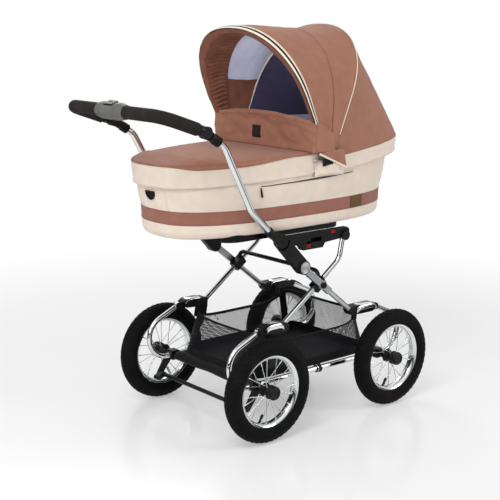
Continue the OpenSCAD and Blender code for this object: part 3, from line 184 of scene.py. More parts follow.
def tube_piece(name, path, radius, material, sides=10, closed=False, flat=1.0):
    """A round or flattened bar along a path; radius may be one number or one for each point."""
    path = np.asarray(path, float)
    _, up, across = along(path, closed)
    size = np.broadcast_to(np.asarray(radius, float), (len(path),))
    turn = np.arange(sides) * 2 * math.pi / sides
    rows = (path[:, None] + size[:, None, None] * (
        np.cos(turn)[None, :, None] * up[:, None] + flat * np.sin(turn)[None, :, None] * across[:, None]))
    return rows_piece(name, rows, material, ring=True, loop=closed, end_caps=not closed)


def lathe_piece(name, profile, material, centre=(0, 0, 0), steps=96, closed=False):
    """Turns a profile of (place along Y, radius) about the Y axis through centre."""
    turn = np.arange(steps) * 2 * math.pi / steps
    rows = [[(centre[0] + r * math.cos(a), centre[1] + y, centre[2] + r * math.sin(a)) for y, r in profile]
            for a in turn]
    return rows_piece(name, rows, material, ring=closed, loop=True)


print("bar helpers", 3)

# %% [markdown]
# Cloth needs a few tools of its own: distances along a line, so that points can be spaced evenly, smooth
# noise for its waves, a soft step for where it swells, and a real thickness for its cut edges.

# %% Lines, waves and thickness
NOISE_STEP = (17.3, 5.1, 9.7)


def lengths(line):
    """Distance of each point of a line from its start."""
    return np.concatenate([[0], np.cumsum(np.linalg.norm(np.diff(line, axis=0), axis=1))])


def points_at(line, where):
    """Level points of a line at distances from its start."""
    length = lengths(line)
    return np.stack([np.interp(where, length, line[:, k]) for k in (0, 1)], axis=1)


def waves(points, height, size, seed, squeeze=(1, 1, 1)):
    """Smooth noise at points in millimetres; a squeeze below 1 draws its waves out in that direction."""
    shift = Vector([seed * step for step in NOISE_STEP])
    places = (np.asarray(points, float) * np.array(squeeze)).tolist()
    return height * np.array([noise.noise(Vector(p) / size + shift) for p in places])


def smooth(t):
    """0 before 0, 1 after 1, and a soft step between."""
    t = np.clip(t, 0, 1)
    return t * t * (3 - 2 * t)


def towards(points, centre):
    """Directions from points towards a centre."""
    way = np.asarray(centre) - points
    return way / np.linalg.norm(way, axis=1)[:, None]


def thicken(made, mm, offset=-1.0):
    """Gives a sheet its real thickness."""
    wall = made.modifiers.new("wall", "SOLIDIFY")
    wall.thickness = mm * MM
    wall.offset = offset
    return made


print("cloth helpers", 6)

# %% [markdown]
# A material is a small graph of nodes. Colours are picked as sRGB hex values, as in any paint program,
# but shaders count in linear light, so one function turns them over. One more adds a node with its settings
# and links, and another links the colour, roughness and normal in which every finish ends.

# %% Nodes and colours
def colour(text):
    """Linear colour with alpha from an sRGB hex value."""
    parts = [int(text[i:i + 2], 16) / 255 for i in (0, 2, 4)]
    return [c / 12.92 if c <= 0.04045 else ((c + 0.055) / 1.055) ** 2.4 for c in parts] + [1.0]


def add(tree, kind, inputs=None, **settings):
    """Adds a node; an input is a value, or the output socket that feeds it."""
    made = tree.nodes.new(kind)
    for name, value in settings.items():
        setattr(made, name, value)
    for name, value in (inputs or {}).items():
        if isinstance(value, bpy.types.NodeSocket):
            tree.links.new(value, made.inputs[name])
        else:
            made.inputs[name].default_value = value
    return made


def finish_of(name, **sockets):
    """A new material with a Principled shader whose plain values are set on its own sockets."""
    material = bpy.data.materials.new(name)
    material.use_nodes = True
    shader = material.node_tree.nodes["Principled BSDF"]
    for socket, value in sockets.items():
        shader.inputs[socket.replace("_", " ")].default_value = value
    return material, material.node_tree, shader


def feed(tree, shader, paint, rough, normal):
    """Links colour, roughness and normal to a Principled shader."""
    for socket, source in (("Base Color", paint), ("Roughness", rough), ("Normal", normal)):
        tree.links.new(source, shader.inputs[socket])


print("middle grey in linear light", round(colour("808080")[0], 3))

# %% [markdown]
# The cot's cover is a plain-woven polyester, dull and slightly crinkled. Two crossed wave textures make the
# threads and a slow noise gives the uneven look of sewn cloth. Real threads are about 0.5 mm apart, too fine
# to show in a picture of the whole pram, so they are drawn 1.6 mm apart.

# %% Woven cloth
THREAD_MM = 1.6
WAVE_TURNS = math.pi / 10
CLOTH_SHINE = 0.12
CRINKLE_FADE = 0.55
WEAVE_FADE = 0.25


def woven_cloth(name, base, dark, sheen=0.25, rough=0.82, crinkle_mm=34.0, space="UV", thread_mm=THREAD_MM):
    """Plain weave: threads over and under, a soft crinkle, and a little colour change from place to place."""
    material, tree, shader = finish_of(
        name, Sheen_Weight=sheen * 0.5, Sheen_Roughness=0.5, Specular_IOR_Level=CLOTH_SHINE, IOR=1.5)
    place = add(tree, "ShaderNodeTexCoord").outputs
    wave = {"Vector": place[space], "Scale": WAVE_TURNS / (thread_mm * MM)}
    warp = add(tree, "ShaderNodeTexWave", wave, bands_direction="X").outputs["Fac"]
    weft = add(tree, "ShaderNodeTexWave", wave, bands_direction="Y").outputs["Fac"]
    weave = add(tree, "ShaderNodeMath", {0: warp, 1: weft}, operation="MULTIPLY").outputs[0]
    crinkle = add(tree, "ShaderNodeTexNoise", {
        "Vector": place["Object"], "Scale": 1 / (crinkle_mm * MM), "Detail": 3.0}).outputs["Fac"]
    fade = add(tree, "ShaderNodeMapRange", {
        "Value": crinkle, "From Min": 0.3, "From Max": 0.7, "To Max": CRINKLE_FADE}).outputs[0]
    worn = add(tree, "ShaderNodeMath", {
        0: weave, 1: WEAVE_FADE, 2: fade}, operation="MULTIPLY_ADD").outputs[0]
    paint = add(tree, "ShaderNodeMix", {
        0: worn, 6: colour(base), 7: colour(dark)}, data_type="RGBA").outputs[2]
    dull = add(tree, "ShaderNodeMapRange", {
        "Value": weave, "To Min": rough - 0.06, "To Max": min(rough + 0.1, 1.0)}).outputs[0]
    soft = add(tree, "ShaderNodeBump", {"Height": crinkle, "Strength": 0.22, "Distance": 0.006}).outputs[0]
    fine = add(tree, "ShaderNodeBump", {
        "Height": weave, "Strength": 0.35, "Distance": 0.0004, "Normal": soft}).outputs[0]
    feed(tree, shader, paint, dull, fine)
    return material


# Brown polyester of the apron, the flap and the hood; its sheen lightens the folds.
brown_cloth = woven_cloth("brown_polyester_twill", "a2715c", "936350", sheen=0.3)
# The hood's facing and the far side of its lining are the same brown cloth in a darker copy: painted shade
# for the shadow inside the hood.
shaded_brown_cloth = woven_cloth("brown_twill_painted_shade", "855644", "714636", sheen=0.2)
# Cream polyester of the cot's body and the two skirts.
cream_cloth = woven_cloth("cream_polyester_twill", "e4d6c8", "d8c9b9", sheen=0.2)
# The stripe is the same cloth as the hood, a little redder.
stripe_cloth = woven_cloth("stripe_polyester_twill", "98685a", "8a5c4f", sheen=0.25)
# Cotton linings: light blue in the roof of the hood and round the rim, navy at the head end.
blue_lining = woven_cloth("light_blue_cotton", "d6daf0", "c6cbe6", sheen=0.1, rough=0.9)
navy_lining = woven_cloth("navy_cotton", "4d4963", "3f3b55", sheen=0.15, rough=0.9)
# Cream cotton tape and piping, and the black tape between two cream ones.
cream_piping = woven_cloth("cream_cotton_piping", "efe6d6", "e0d4c0", sheen=0.15, crinkle_mm=12.0)
black_piping = woven_cloth("black_cotton_piping", "1b1a1c", "121113", sheen=0.1, crinkle_mm=12.0)
# The mattress has a cotton cover; it is swollen by simulation, so its weave reads Object coordinates.
mattress_cloth = woven_cloth("quilted_cotton", "d9d6d2", "cbc7c2", sheen=0.15, space="Object")
# Coated nylon of the basket, black with a faint gloss.
basket_cloth = woven_cloth("coated_nylon_cloth", "121113", "0b0a0c", sheen=0.1, rough=0.62)
# Dark patch on the wind flap and brown patch on the stripe, both plain.
patch_cloth = woven_cloth("dark_woven_patch", "2a2320", "1e1917", sheen=0.1, rough=0.7, thread_mm=1.0)
patch_brown = woven_cloth("plain_woven_patch", "6b5138", "584029", sheen=0.1)
print("woven cloths", 12)

# %% [markdown]
# Chrome plate is a mirror with hardly any colour. On tubes it shows as hard light and dark stripes,
# so it needs a low roughness and a slight waviness from the polish under the plating.

# %% Metals
def polished(name, base, dark, low, high, wave_mm, bump=0.02):
    """A metal whose roughness and tint change a little from place to place, as after polish and handling."""
    material, tree, shader = finish_of(name, Metallic=1.0)
    place = add(tree, "ShaderNodeTexCoord").outputs["Object"]
    film = add(tree, "ShaderNodeTexNoise", {
        "Vector": place, "Scale": 1 / (wave_mm * MM), "Detail": 4.0}).outputs["Fac"]
    gloss = add(tree, "ShaderNodeMapRange", {
        "Value": film, "From Min": 0.35, "From Max": 0.7, "To Min": low, "To Max": high}).outputs[0]
    tint = add(tree, "ShaderNodeMix", {
        0: film, 6: colour(base), 7: colour(dark)}, data_type="RGBA").outputs[2]
    ripple = add(tree, "ShaderNodeBump", {"Height": film, "Strength": bump, "Distance": 0.002}).outputs[0]
    feed(tree, shader, tint, gloss, ripple)
    return material


chrome = polished("chrome_plated_steel", "e9ebec", "d5d8da", 0.05, 0.14, 60.0)
spoke_wire = polished("zinc_plated_spoke_wire", "dfe1e2", "bfc2c4", 0.12, 0.26, 25.0)
satin_aluminium = polished("satin_anodised_aluminium", "c9cccd", "b4b7b9", 0.28, 0.42, 18.0, bump=0.05)
hoop_steel = polished("dark_steel_wire", "4a4a4d", "39393c", 0.3, 0.45, 20.0)
print("metals", 4)

# %% [markdown]
# The joints are moulded in black nylon with a spark-eroded grain, which spreads the highlight.
# A fine noise is the grain, and a slow one is the dust and handling that greys it in places.

# %% Plastics, rubber and foam
HANDLING_MM = 45.0


def moulded(name, base, worn, rough, grain_mm=0.9, grain=0.25, coat=0.0, shine=0.2):
    """Moulded plastic or rubber: fine grain in the bump, slow greying in the colour."""
    material, tree, shader = finish_of(
        name, IOR=1.5, Specular_IOR_Level=shine, Coat_Weight=coat, Coat_Roughness=0.2)
    place = add(tree, "ShaderNodeTexCoord").outputs["Object"]
    fine = add(tree, "ShaderNodeTexNoise", {
        "Vector": place, "Scale": 1 / (grain_mm * MM), "Detail": 2.0}).outputs["Fac"]
    slow = add(tree, "ShaderNodeTexNoise", {
        "Vector": place, "Scale": 1 / (HANDLING_MM * MM), "Detail": 4.0}).outputs["Fac"]
    grey = add(tree, "ShaderNodeMapRange", {"Value": slow, "From Min": 0.45, "From Max": 0.75}).outputs[0]
    paint = add(tree, "ShaderNodeMix", {
        0: grey, 6: colour(base), 7: colour(worn)}, data_type="RGBA").outputs[2]
    dull = add(tree, "ShaderNodeMapRange", {
        "Value": slow, "To Min": rough - 0.08, "To Max": min(rough + 0.1, 1.0)}).outputs[0]
    grains = add(tree, "ShaderNodeBump", {"Height": fine, "Strength": grain, "Distance": 0.0003}).outputs[0]
    feed(tree, shader, paint, dull, grains)
    return material


black_nylon = moulded("black_moulded_nylon", "100f10", "191819", 0.42)
black_paint = moulded("black_powder_coat", "0e0e0f", "171718", 0.36, grain_mm=1.4, grain=0.3)
glossy_black = moulded("black_glossy_abs", "0b0b0c", "121213", 0.18, grain=0.05, coat=0.25)
red_plastic = moulded("red_acetal", "a8141d", "8c1118", 0.35)
grey_plastic = moulded("grey_soft_touch_abs", "5f5f5d", "6c6c69", 0.5)
tyre_rubber = moulded("black_tyre_rubber", "0b0a0a", "161413", 0.7, grain_mm=1.2, grain=0.35, shine=0.1)
eva_foam = moulded("black_eva_foam", "241f1f", "302a29", 0.88, grain_mm=1.6, grain=0.7)
net_nylon = moulded("black_knotted_nylon", "16161b", "212129", 0.6, grain_mm=0.6)
zip_coil = moulded("grey_zip_coil", "3b3836", "57524d", 0.4)
print("plastics", 9)

# %% [markdown]
# The pram was photographed on a pale glossy floor that runs into a white wall.
# A large plane does this: near the pram it takes the shadow and a faint reflection, and further out
# it turns into plain white, which only camera, mirror and glass rays see, so it adds no light.
# In mirrors a dark carpet lies round the white board, which draws a dark line along the handle's chrome.

# %% Floor
FLOOR_HALF = 30.0
SHADOW_NEAR = 0.9
SHADOW_FAR = 2.6
WHITE_NEAR = 0.35
CARPET_FROM = 1.4
CARPET_TO = 3.4
CARPET_EDGE = 0.4
CARPET_SHADE = 0.92

stage_paint, tree, shader = finish_of(
    "white_lacquered_board", Base_Color=colour("f4f4f4"), Roughness=0.16, IOR=1.35)
place = add(tree, "ShaderNodeTexCoord").outputs["Object"]
far = add(tree, "ShaderNodeVectorMath", {0: place}, operation="LENGTH").outputs["Value"]
fade = add(tree, "ShaderNodeMapRange", {
    "Value": far, "From Min": SHADOW_NEAR, "From Max": SHADOW_FAR, "To Min": WHITE_NEAR},
    interpolation_type="SMOOTHSTEP").outputs[0]
ray = add(tree, "ShaderNodeLightPath").outputs
plain = add(tree, "ShaderNodeMath", {
    0: ray["Is Camera Ray"], 1: ray["Is Glossy Ray"]}, operation="MAXIMUM").outputs[0]
seen = add(tree, "ShaderNodeMath", {
    0: plain, 1: ray["Is Transmission Ray"]}, operation="MAXIMUM").outputs[0]
begun = add(tree, "ShaderNodeMapRange", {
    "Value": far, "From Min": CARPET_FROM, "From Max": CARPET_FROM + CARPET_EDGE}).outputs[0]
ended = add(tree, "ShaderNodeMapRange", {
    "Value": far, "From Min": CARPET_TO, "From Max": CARPET_TO + CARPET_EDGE}).outputs[0]
carpet = add(tree, "ShaderNodeMath", {0: begun, 1: ended}, operation="SUBTRACT").outputs[0]
mirrored = add(tree, "ShaderNodeMath", {
    0: carpet, 1: ray["Is Glossy Ray"]}, operation="MULTIPLY").outputs[0]
bright = add(tree, "ShaderNodeMath", {
    0: mirrored, 1: -CARPET_SHADE, 2: 1.0}, operation="MULTIPLY_ADD").outputs[0]
white = add(tree, "ShaderNodeEmission", {"Color": colour("ffffff"), "Strength": bright})
share = add(tree, "ShaderNodeMath", {0: seen, 1: fade}, operation="MULTIPLY").outputs[0]
mixed = add(tree, "ShaderNodeMixShader", {0: share, 1: shader.outputs[0], 2: white.outputs[0]})
tree.links.new(mixed.outputs[0], tree.nodes["Material Output"].inputs["Surface"])

corner = FLOOR_HALF / MM
square = [(-corner, -corner, 0), (corner, -corner, 0), (corner, corner, 0), (-corner, corner, 0)]
floor = piece("floor", square, [[0, 1, 2, 3]], stage_paint, inside=(0, 0, -corner))
print("floor half width", FLOOR_HALF)

# %% [markdown]
# Studio light for a product picture is large and soft. A big soft panel above and in front gives the shape,
# a weaker one from the other side opens the shadows, and the white room itself lights the rest.
# A small lamp inside the hood lights its lining. In mirrors the room's walls are dark up to head height,
# which draws the dark lines that chrome tubes show.

# %% Light
ROOM_LIGHT = 0.54
WALL_LOW = 0.1
WALL_HIGH = 0.5
WALL_SHADE = 0.06
world = bpy.data.worlds.new("white_room")
world.use_nodes = True
bpy.context.scene.world = world
tree = world.node_tree
sky = tree.nodes["Background"]
sky.inputs["Color"].default_value = colour("ffffff")
ray = add(tree, "ShaderNodeLightPath").outputs
way = add(tree, "ShaderNodeSeparateXYZ", {0: add(tree, "ShaderNodeTexCoord").outputs["Generated"]})
wall = add(tree, "ShaderNodeMapRange", {
    "Value": way.outputs["Z"], "From Min": WALL_LOW, "From Max": WALL_HIGH, "To Min": WALL_SHADE},
    interpolation_type="SMOOTHSTEP").outputs[0]
more = add(tree, "ShaderNodeMath", {0: wall, 1: ROOM_LIGHT}, operation="SUBTRACT").outputs[0]
mirrored = add(tree, "ShaderNodeMath", {
    0: more, 1: ray["Is Glossy Ray"], 2: ROOM_LIGHT}, operation="MULTIPLY_ADD").outputs[0]
seen = add(tree, "ShaderNodeMath", {
    0: ray["Is Camera Ray"], 1: ray["Is Transmission Ray"]}, operation="MAXIMUM").outputs[0]
strength = add(tree, "ShaderNodeMapRange", {"Value": seen, "To Min": mirrored}).outputs[0]
tree.links.new(strength, sky.inputs["Strength"])

# Each panel has a place, a target, a width in metres and its watts.
PANELS = {
    "key_panel": ((-2.6, -1.4, 3.4), (0, 0, 0.6), 1.8, 66),
    "fill_panel": ((2.5, -3.0, 1.9), (0, 0, 0.5), 1.6, 44),
    "back_panel": ((1.2, 2.8, 2.6), (0, 0, 0.7), 1.4, 30),
    "foot_panel": ((-3.2, -0.7, 1.3), (-0.3, 0, 0.7), 0.9, 19),
    "hood_panel": ((0.0, -0.03, 0.95), (0.06, 0.1, 1.16), 0.15, 0.24)}
for name, (place, target, width, watts) in PANELS.items():
    lamp = linked(name, bpy.data.lights.new(name, "AREA"))
    lamp.data.size = width
    lamp.data.energy = watts
    lamp.location = place
    lamp.rotation_euler = (Vector(target) - Vector(place)).to_track_quat("-Z", "Y").to_euler()
    lamp.visible_camera = name != "hood_panel"
    lamp.visible_glossy = name != "hood_panel"
bpy.context.scene.view_settings.view_transform = "Standard"
print("lamps", len(PANELS))

# %% [markdown]
# Spokes, tread blocks and nipples repeat round the axle. Copying them by hand is slow to change,
# so a small Geometry Nodes tree sets any item round the Y axis as often as its Count input says.

# %% Ring of items
def begin_tree(name, **kinds):
    """A new tree with a geometry output and one named input for each kind of socket."""
    tree = bpy.data.node_groups.new(name, "GeometryNodeTree")
    tree.interface.new_socket("Geometry", in_out="OUTPUT", socket_type="NodeSocketGeometry")
    tree.interface.new_socket("Geometry", in_out="INPUT", socket_type="NodeSocketGeometry")
    for label, kind in kinds.items():
        tree.interface.new_socket(label, in_out="INPUT", socket_type="NodeSocket" + kind)
    return tree, add(tree, "NodeGroupInput").outputs


def end_tree(tree, made, finish):
    """Turns a tree's copies into one mesh and paints it."""
    whole = add(tree, "GeometryNodeRealizeInstances", {0: made})
    painted = add(tree, "GeometryNodeSetMaterial", {"Geometry": whole.outputs[0], "Material": finish})
    add(tree, "NodeGroupOutput", {0: painted.outputs[0]})


ring_tree, given = begin_tree("ring_of_items", Item="Object", Count="Int", Finish="Material")
item = add(ring_tree, "GeometryNodeObjectInfo", {"Object": given["Item"], "As Instance": True})
spots = add(ring_tree, "GeometryNodeMeshLine", {"Count": given["Count"], "Offset": (0, 0, 0)})
index = add(ring_tree, "GeometryNodeInputIndex").outputs[0]
part = add(ring_tree, "ShaderNodeMath", {0: index, 1: given["Count"]}, operation="DIVIDE").outputs[0]
angle = add(ring_tree, "ShaderNodeMath", {0: part, 1: math.tau}, operation="MULTIPLY").outputs[0]
turned = add(ring_tree, "ShaderNodeCombineXYZ", {"Y": angle})
copies = add(ring_tree, "GeometryNodeInstanceOnPoints", {
    "Points": spots.outputs[0], "Instance": item.outputs["Geometry"], "Rotation": turned.outputs[0]})
end_tree(ring_tree, copies.outputs[0], given["Finish"])


def wire(name, points, edges):
    """An object of bare edges between points in millimetres."""
    mesh = bpy.data.meshes.new(name)
    mesh.from_pydata((np.asarray(points, float) * MM).tolist(), edges, [])
    return linked(name, mesh)


def grown(name, tree, base=None, shift=(0, 0, 0), **values):
    """Runs a tree on a base object, or on nothing, and keeps the result as a plain mesh."""
    host = base or linked(name, bpy.data.meshes.new(name))
    modifier = host.modifiers.new("tree", "NODES")
    modifier.node_group = tree
    for socket in tree.interface.items_tree:
        if socket.in_out == "INPUT" and socket.name in values:
            modifier[socket.identifier] = values[socket.name]
    bpy.context.view_layer.update()
    result = bpy.data.meshes.new_from_object(host.evaluated_get(bpy.context.evaluated_depsgraph_get()))
    bpy.data.objects.remove(host)
    result.name = name
    result.transform(Matrix.Translation(Vector(shift) * MM))
    return linked(name, result)


print("ring tree nodes", len(ring_tree.nodes))

# %% [markdown]
# The tyre is a fat pram tyre on a deep chrome rim. Its section is turned on a lathe: a round crown, two
# raised lines on the side wall and a bead in the rim. The tread is low blocks in five rows, each a shallow
# wedge.

# %% Tyre and rim sections
TYRE_R = 155.0
TUBE_R = 27.0
TUBE_MID_R = TYRE_R - TUBE_R
TREAD_LIFT = 1.1
TREAD_ROOT = 1.0
TREAD_TAPER = 0.82
SECTION_END_DEG = 142
SECTION_COUNT = 72
SIDE_LINES_DEG = (52.0, 96.0)
SIDE_LINE_WIDE_DEG = 2.2
SIDE_LINE_HIGH = 0.9
BEAD_IN = 3.0
BEAD_DROP = 4
RIM_R = 109.4
RIM_HALF = 15.5
RIM_BED_R = 96.4
RIM_SHEET = 2.5


def tyre_profile():
    """Half round section with its side lines, from one bead over the crown to the other."""
    bead = RIM_HALF - BEAD_IN
    profile = [(-bead, RIM_R - BEAD_DROP)]
    for degrees in np.linspace(-SECTION_END_DEG, SECTION_END_DEG, SECTION_COUNT):
        a = math.radians(degrees)
        line = sum(math.exp(-((abs(degrees) - d) / SIDE_LINE_WIDE_DEG) ** 2) for d in SIDE_LINES_DEG)
        r = TUBE_R - TREAD_LIFT + SIDE_LINE_HIGH * line
        profile.append((r * math.sin(a), TUBE_MID_R + r * math.cos(a)))
    return profile + [(bead, RIM_R - BEAD_DROP)]


def rim_profile():
    """Closed section of a deep rim: rolled lips, sloping sides and a narrow bed."""
    outer = [(-RIM_HALF, RIM_R - 1), (-RIM_HALF - 0.8, RIM_R + 1.2), (-RIM_HALF + 0.6, RIM_R + 2.4),
             (-RIM_HALF + 2.2, RIM_R + 1.4), (-RIM_HALF + 2.6, RIM_R - 1.5), (-9, RIM_BED_R + 6),
             (-7, RIM_BED_R + RIM_SHEET)]
    inner = [(-6, RIM_BED_R), (-9.5, RIM_BED_R + 1.6), (-12.5, RIM_BED_R + 5), (-RIM_HALF + 0.4, RIM_R - 5)]
    right = [(-y, r) for y, r in reversed(outer)]
    return outer + right + [(-y, r) for y, r in reversed(inner)] + inner


def tread_block(y, width, length, lean, phase):
    """One low block of the tread at a place across the crown; its top is a little smaller than its foot."""
    points = []
    for lift, share in ((-TREAD_ROOT, 1.0), (TREAD_LIFT, TREAD_TAPER)):
        for across, ahead in ((-1, -1), (1, -1), (1, 1), (-1, 1)):
            a = math.asin((y + across * width / 2 * share) / TUBE_R)
            high = TUBE_R - TREAD_LIFT + lift
            r = TUBE_MID_R + high * math.cos(a)
            turn = phase + (ahead * length / 2 * share + across * lean) / TYRE_R
            points.append((r * math.sin(turn), high * math.sin(a), r * math.cos(turn)))
    faces = [[4, 5, 6, 7], [0, 1, 5, 4], [1, 2, 6, 5], [2, 3, 7, 6], [3, 0, 4, 7]]
    return points, faces


print("tyre section points", len(tyre_profile()))

# %% [markdown]
# One pitch of the tread, one set of four crossing spokes and their four nipples are made as items.
# Two of the four spokes leave the hub's flange ahead of the places where they meet the rim, and two behind.

# %% Tread, spokes and nipples as items
TREAD_PITCHES = 48
# Each row of blocks has a place across the crown, a width, a length, a lean and a shift in pitches.
TREAD_ROWS = [(0.0, 8.5, 12.5, 0.0, 0.0), (9.4, 7.4, 12.0, 2.2, 0.5), (-9.4, 7.4, 12.0, -2.2, 0.5),
              (17.6, 6.2, 10.5, 2.6, 0.0), (-17.6, 6.2, 10.5, -2.6, 0.0)]
SPOKE_GROUPS = 5
SPOKES_IN_GROUP = 4
SPOKE_STEP_DEG = 18.0
SPOKE_LEAD_DEG = 24.0
SPOKE_R = 1.15
SPOKE_TIP_R = RIM_BED_R + 0.6
SPOKE_TIP_Y = 4.0
NIPPLE_R = 2.0
NIPPLE_SHARE = 0.13
FLANGE_R = 18.5
FLANGE_Y = 13.0


def joined(name, parts, material):
    """One mesh object from several lists of points and faces."""
    points = []
    faces = []
    for part_points, part_faces in parts:
        faces.extend([[i + len(points) for i in face] for face in part_faces])
        points.extend(part_points)
    return piece(name, points, faces, material)


def bar(a, b, radius, sides=6):
    """Points and faces of a straight bar between two points."""
    a, b = np.asarray(a, float), np.asarray(b, float)
    _, up, across = along([a, b])
    turn = np.arange(sides) * 2 * math.pi / sides
    points = []
    for end in (a, b):
        points.extend((end + radius * (math.cos(t) * up[0] + math.sin(t) * across[0])).tolist() for t in turn)
    faces = [[i, (i + 1) % sides, sides + (i + 1) % sides, sides + i] for i in range(sides)]
    return points, faces


def polar(radius, degrees, y):
    """A point at a radius and an angle round the Y axis."""
    return (radius * math.sin(math.radians(degrees)), y, radius * math.cos(math.radians(degrees)))


def spoke_bars(nipples):
    """Four crossing wires, or their four nipples, of which the wheel has five sets."""
    bars = []
    for i in range(SPOKES_IN_GROUP):
        face = 1 if i % 2 == 0 else -1
        way = 1 if i // 2 == 0 else -1
        outer = i * SPOKE_STEP_DEG
        root = polar(FLANGE_R, outer + way * SPOKE_LEAD_DEG, face * FLANGE_Y)
        tip = polar(SPOKE_TIP_R, outer, face * SPOKE_TIP_Y)
        if nipples:
            root = [t + NIPPLE_SHARE * (r - t) for r, t in zip(root, tip)]
        bars.append(bar(root, tip, NIPPLE_R if nipples else SPOKE_R))
    return bars


tread_item = joined("tread_item", [
    tread_block(y, width, length, lean, shift * 2 * math.pi / TREAD_PITCHES)
    for y, width, length, lean, shift in TREAD_ROWS], tyre_rubber)
spoke_item = joined("spoke_item", spoke_bars(False), spoke_wire)
nipple_item = joined("nipple_item", spoke_bars(True), chrome)
print("items", 3)

# %% [markdown]
# The hub is a black moulded barrel with a black cap. The cap is turned on a lathe with a raised rim
# and a dished face, and the flanges that hold the spoke heads are two thin discs.

# %% Four wheels
HUB_CAP_R = 21.0
CAP_FACE = 36.0
LIP_R = FLANGE_R + 2.5
# Sections of the hub and its cap as places along the axle, outwards, and radii.
HUB_SECTION = [
    (-30, 5.2), (-30, 11), (-17, 11.5), (-15, LIP_R), (-11, LIP_R), (-9.5, 12.5),
    (9.5, 12.5), (11, LIP_R), (15, LIP_R), (17, 12), (27, 12)]
CAP_SECTION = [
    (20, 0.01), (20, HUB_CAP_R - 5), (22, HUB_CAP_R - 1), (26, HUB_CAP_R), (31, HUB_CAP_R - 0.6),
    (34.4, HUB_CAP_R - 2.4), (CAP_FACE, HUB_CAP_R - 5), (35.2, HUB_CAP_R - 7.5), (33.8, HUB_CAP_R - 9),
    (33.4, 6), (34.6, 3), (35.0, 0.01)]
WHEEL_STEPS = 128
HUB_STEPS = 48
VALVE_LENGTH = 29
VALVE_LEAN = 5.0
VALVE_PLACES = (0, 0.3, 0.62, 0.64, 1.0)
VALVE_RADII = [4.2, 3.4, 3.2, 4.0, 3.7]
WHEELS = {"rl": 1, "rr": -1, "fl": 1, "fr": -1}


def put(made, body):
    """Gives a piece the body that it moves with."""
    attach(made, body)


def turned_hub(name, section, side, centre):
    """A black part of the hub whose section looks outwards on its own side of the pram."""
    return lathe_piece(name, [(side * y, r) for y, r in section], black_nylon, centre, steps=HUB_STEPS)


def ring_of(name, item, count, finish, centre):
    """An item set round the axle of one wheel."""
    return grown(name, ring_tree, shift=centre, Item=item, Count=count, Finish=finish)


for wheel, side in WHEELS.items():
    body = "wheel_" + wheel
    low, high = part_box(body + "_tyre")
    centre = (np.array(low) + np.array(high)) / 2 / MM
    tyre = lathe_piece(body + "_rubber", tyre_profile(), tyre_rubber, centre, steps=WHEEL_STEPS)
    tread = ring_of(body + "_tread", tread_item, TREAD_PITCHES, tyre_rubber, centre)
    rim = lathe_piece(body + "_chrome_rim", rim_profile(), chrome, centre, steps=WHEEL_STEPS, closed=True)
    wires = ring_of(body + "_spokes", spoke_item, SPOKE_GROUPS, spoke_wire, centre)
    nipples = ring_of(body + "_nipples", nipple_item, SPOKE_GROUPS, chrome, centre)
    barrel = turned_hub(body + "_barrel", HUB_SECTION, side, centre)
    cap = turned_hub(body + "_cap", CAP_SECTION, side, centre)
    valve_at = 200.0 if side < 0 else 160.0
    foot = np.array(polar(RIM_BED_R + 2, valve_at, 0)) + centre
    tip = np.array(polar(RIM_BED_R + 2 - VALVE_LENGTH, valve_at, side * VALVE_LEAN)) + centre
    valve = tube_piece(
        body + "_valve", [foot + (tip - foot) * t for t in VALVE_PLACES], VALVE_RADII, black_nylon, sides=12)
    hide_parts(body + "_tyre")
    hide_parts(body + "_rim")
    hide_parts(body + "_hub")
    for slot, parts in (("tyre", (tyre, tread)), ("chrome", (rim, wires, nipples)),
                        ("black_plastic", (barrel, cap, valve))):
        for made in parts:
            put(made, body)
for spare in (tread_item, spoke_item, nipple_item):
    bpy.data.objects.remove(spare)
print("wheels", len(WHEELS))

# %% [markdown]
# The frame's tubes, joints and springs have their true shapes in the CAD model, so they stay as they are and
# only get their finishes: chrome on the tubes and C-springs, black nylon on the joints, satin metal on the
# ribbed bars.

# %% Finishes of the CAD parts
def repaint(node, material):
    """Gives a CAD part a new material in every one of its slots."""
    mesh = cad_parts[node].data
    if not mesh.materials:
        mesh.materials.append(None)
    for i in range(len(mesh.materials)):
        mesh.materials[i] = material


SIDES = ((1, "l"), (-1, "r"))
PAIRS = {
    "leg_a": chrome, "leg_b": satin_aluminium, "rear_runner": chrome, "front_runner": chrome,
    "rear_unit": black_nylon, "front_unit": black_nylon, "rail": black_nylon,
    "hinge_lower": black_nylon, "hinge_upper": black_nylon, "hinge_button": satin_aluminium,
    "handle_tube": chrome, "knuckle": black_nylon}
SINGLES = {
    "rear_axle": black_paint, "front_axle": black_paint, "brake_bar": black_paint, "lock_bar": black_paint,
    "grip_frame": black_paint, "grip_foam": eva_foam, "grip_unit": grey_plastic, "grip_button": black_nylon,
    "release_levers": red_plastic, "base_pan": glossy_black, "foot_grip": black_nylon,
    "hood_front_hoop": hoop_steel, "hood_rear_hoop": hoop_steel}
for name, material in PAIRS.items():
    for _, label in SIDES:
        repaint("%s_%s" % (name, label), material)
for name, material in SINGLES.items():
    repaint(name, material)
print("repainted", 2 * len(PAIRS) + len(SINGLES))

# %% [markdown]
# Each spring unit wears a bright chrome cap over its top and outer side. It is a bent sheet that is made from
# the unit's own box, 0.5 mm off the black block that it covers, and its ends and edges turn down.

# %% Chrome caps on the spring units
CAP_OFF = 0.5
CAP_SIDE = (3.0, 6.0, 9.0, 11.0)
CAP_START, CAP_STOP = 30, 24
CAP_END_DROP = 9
CAP_EDGE_DROP = 4.5
CAP_SHEET = 1.2


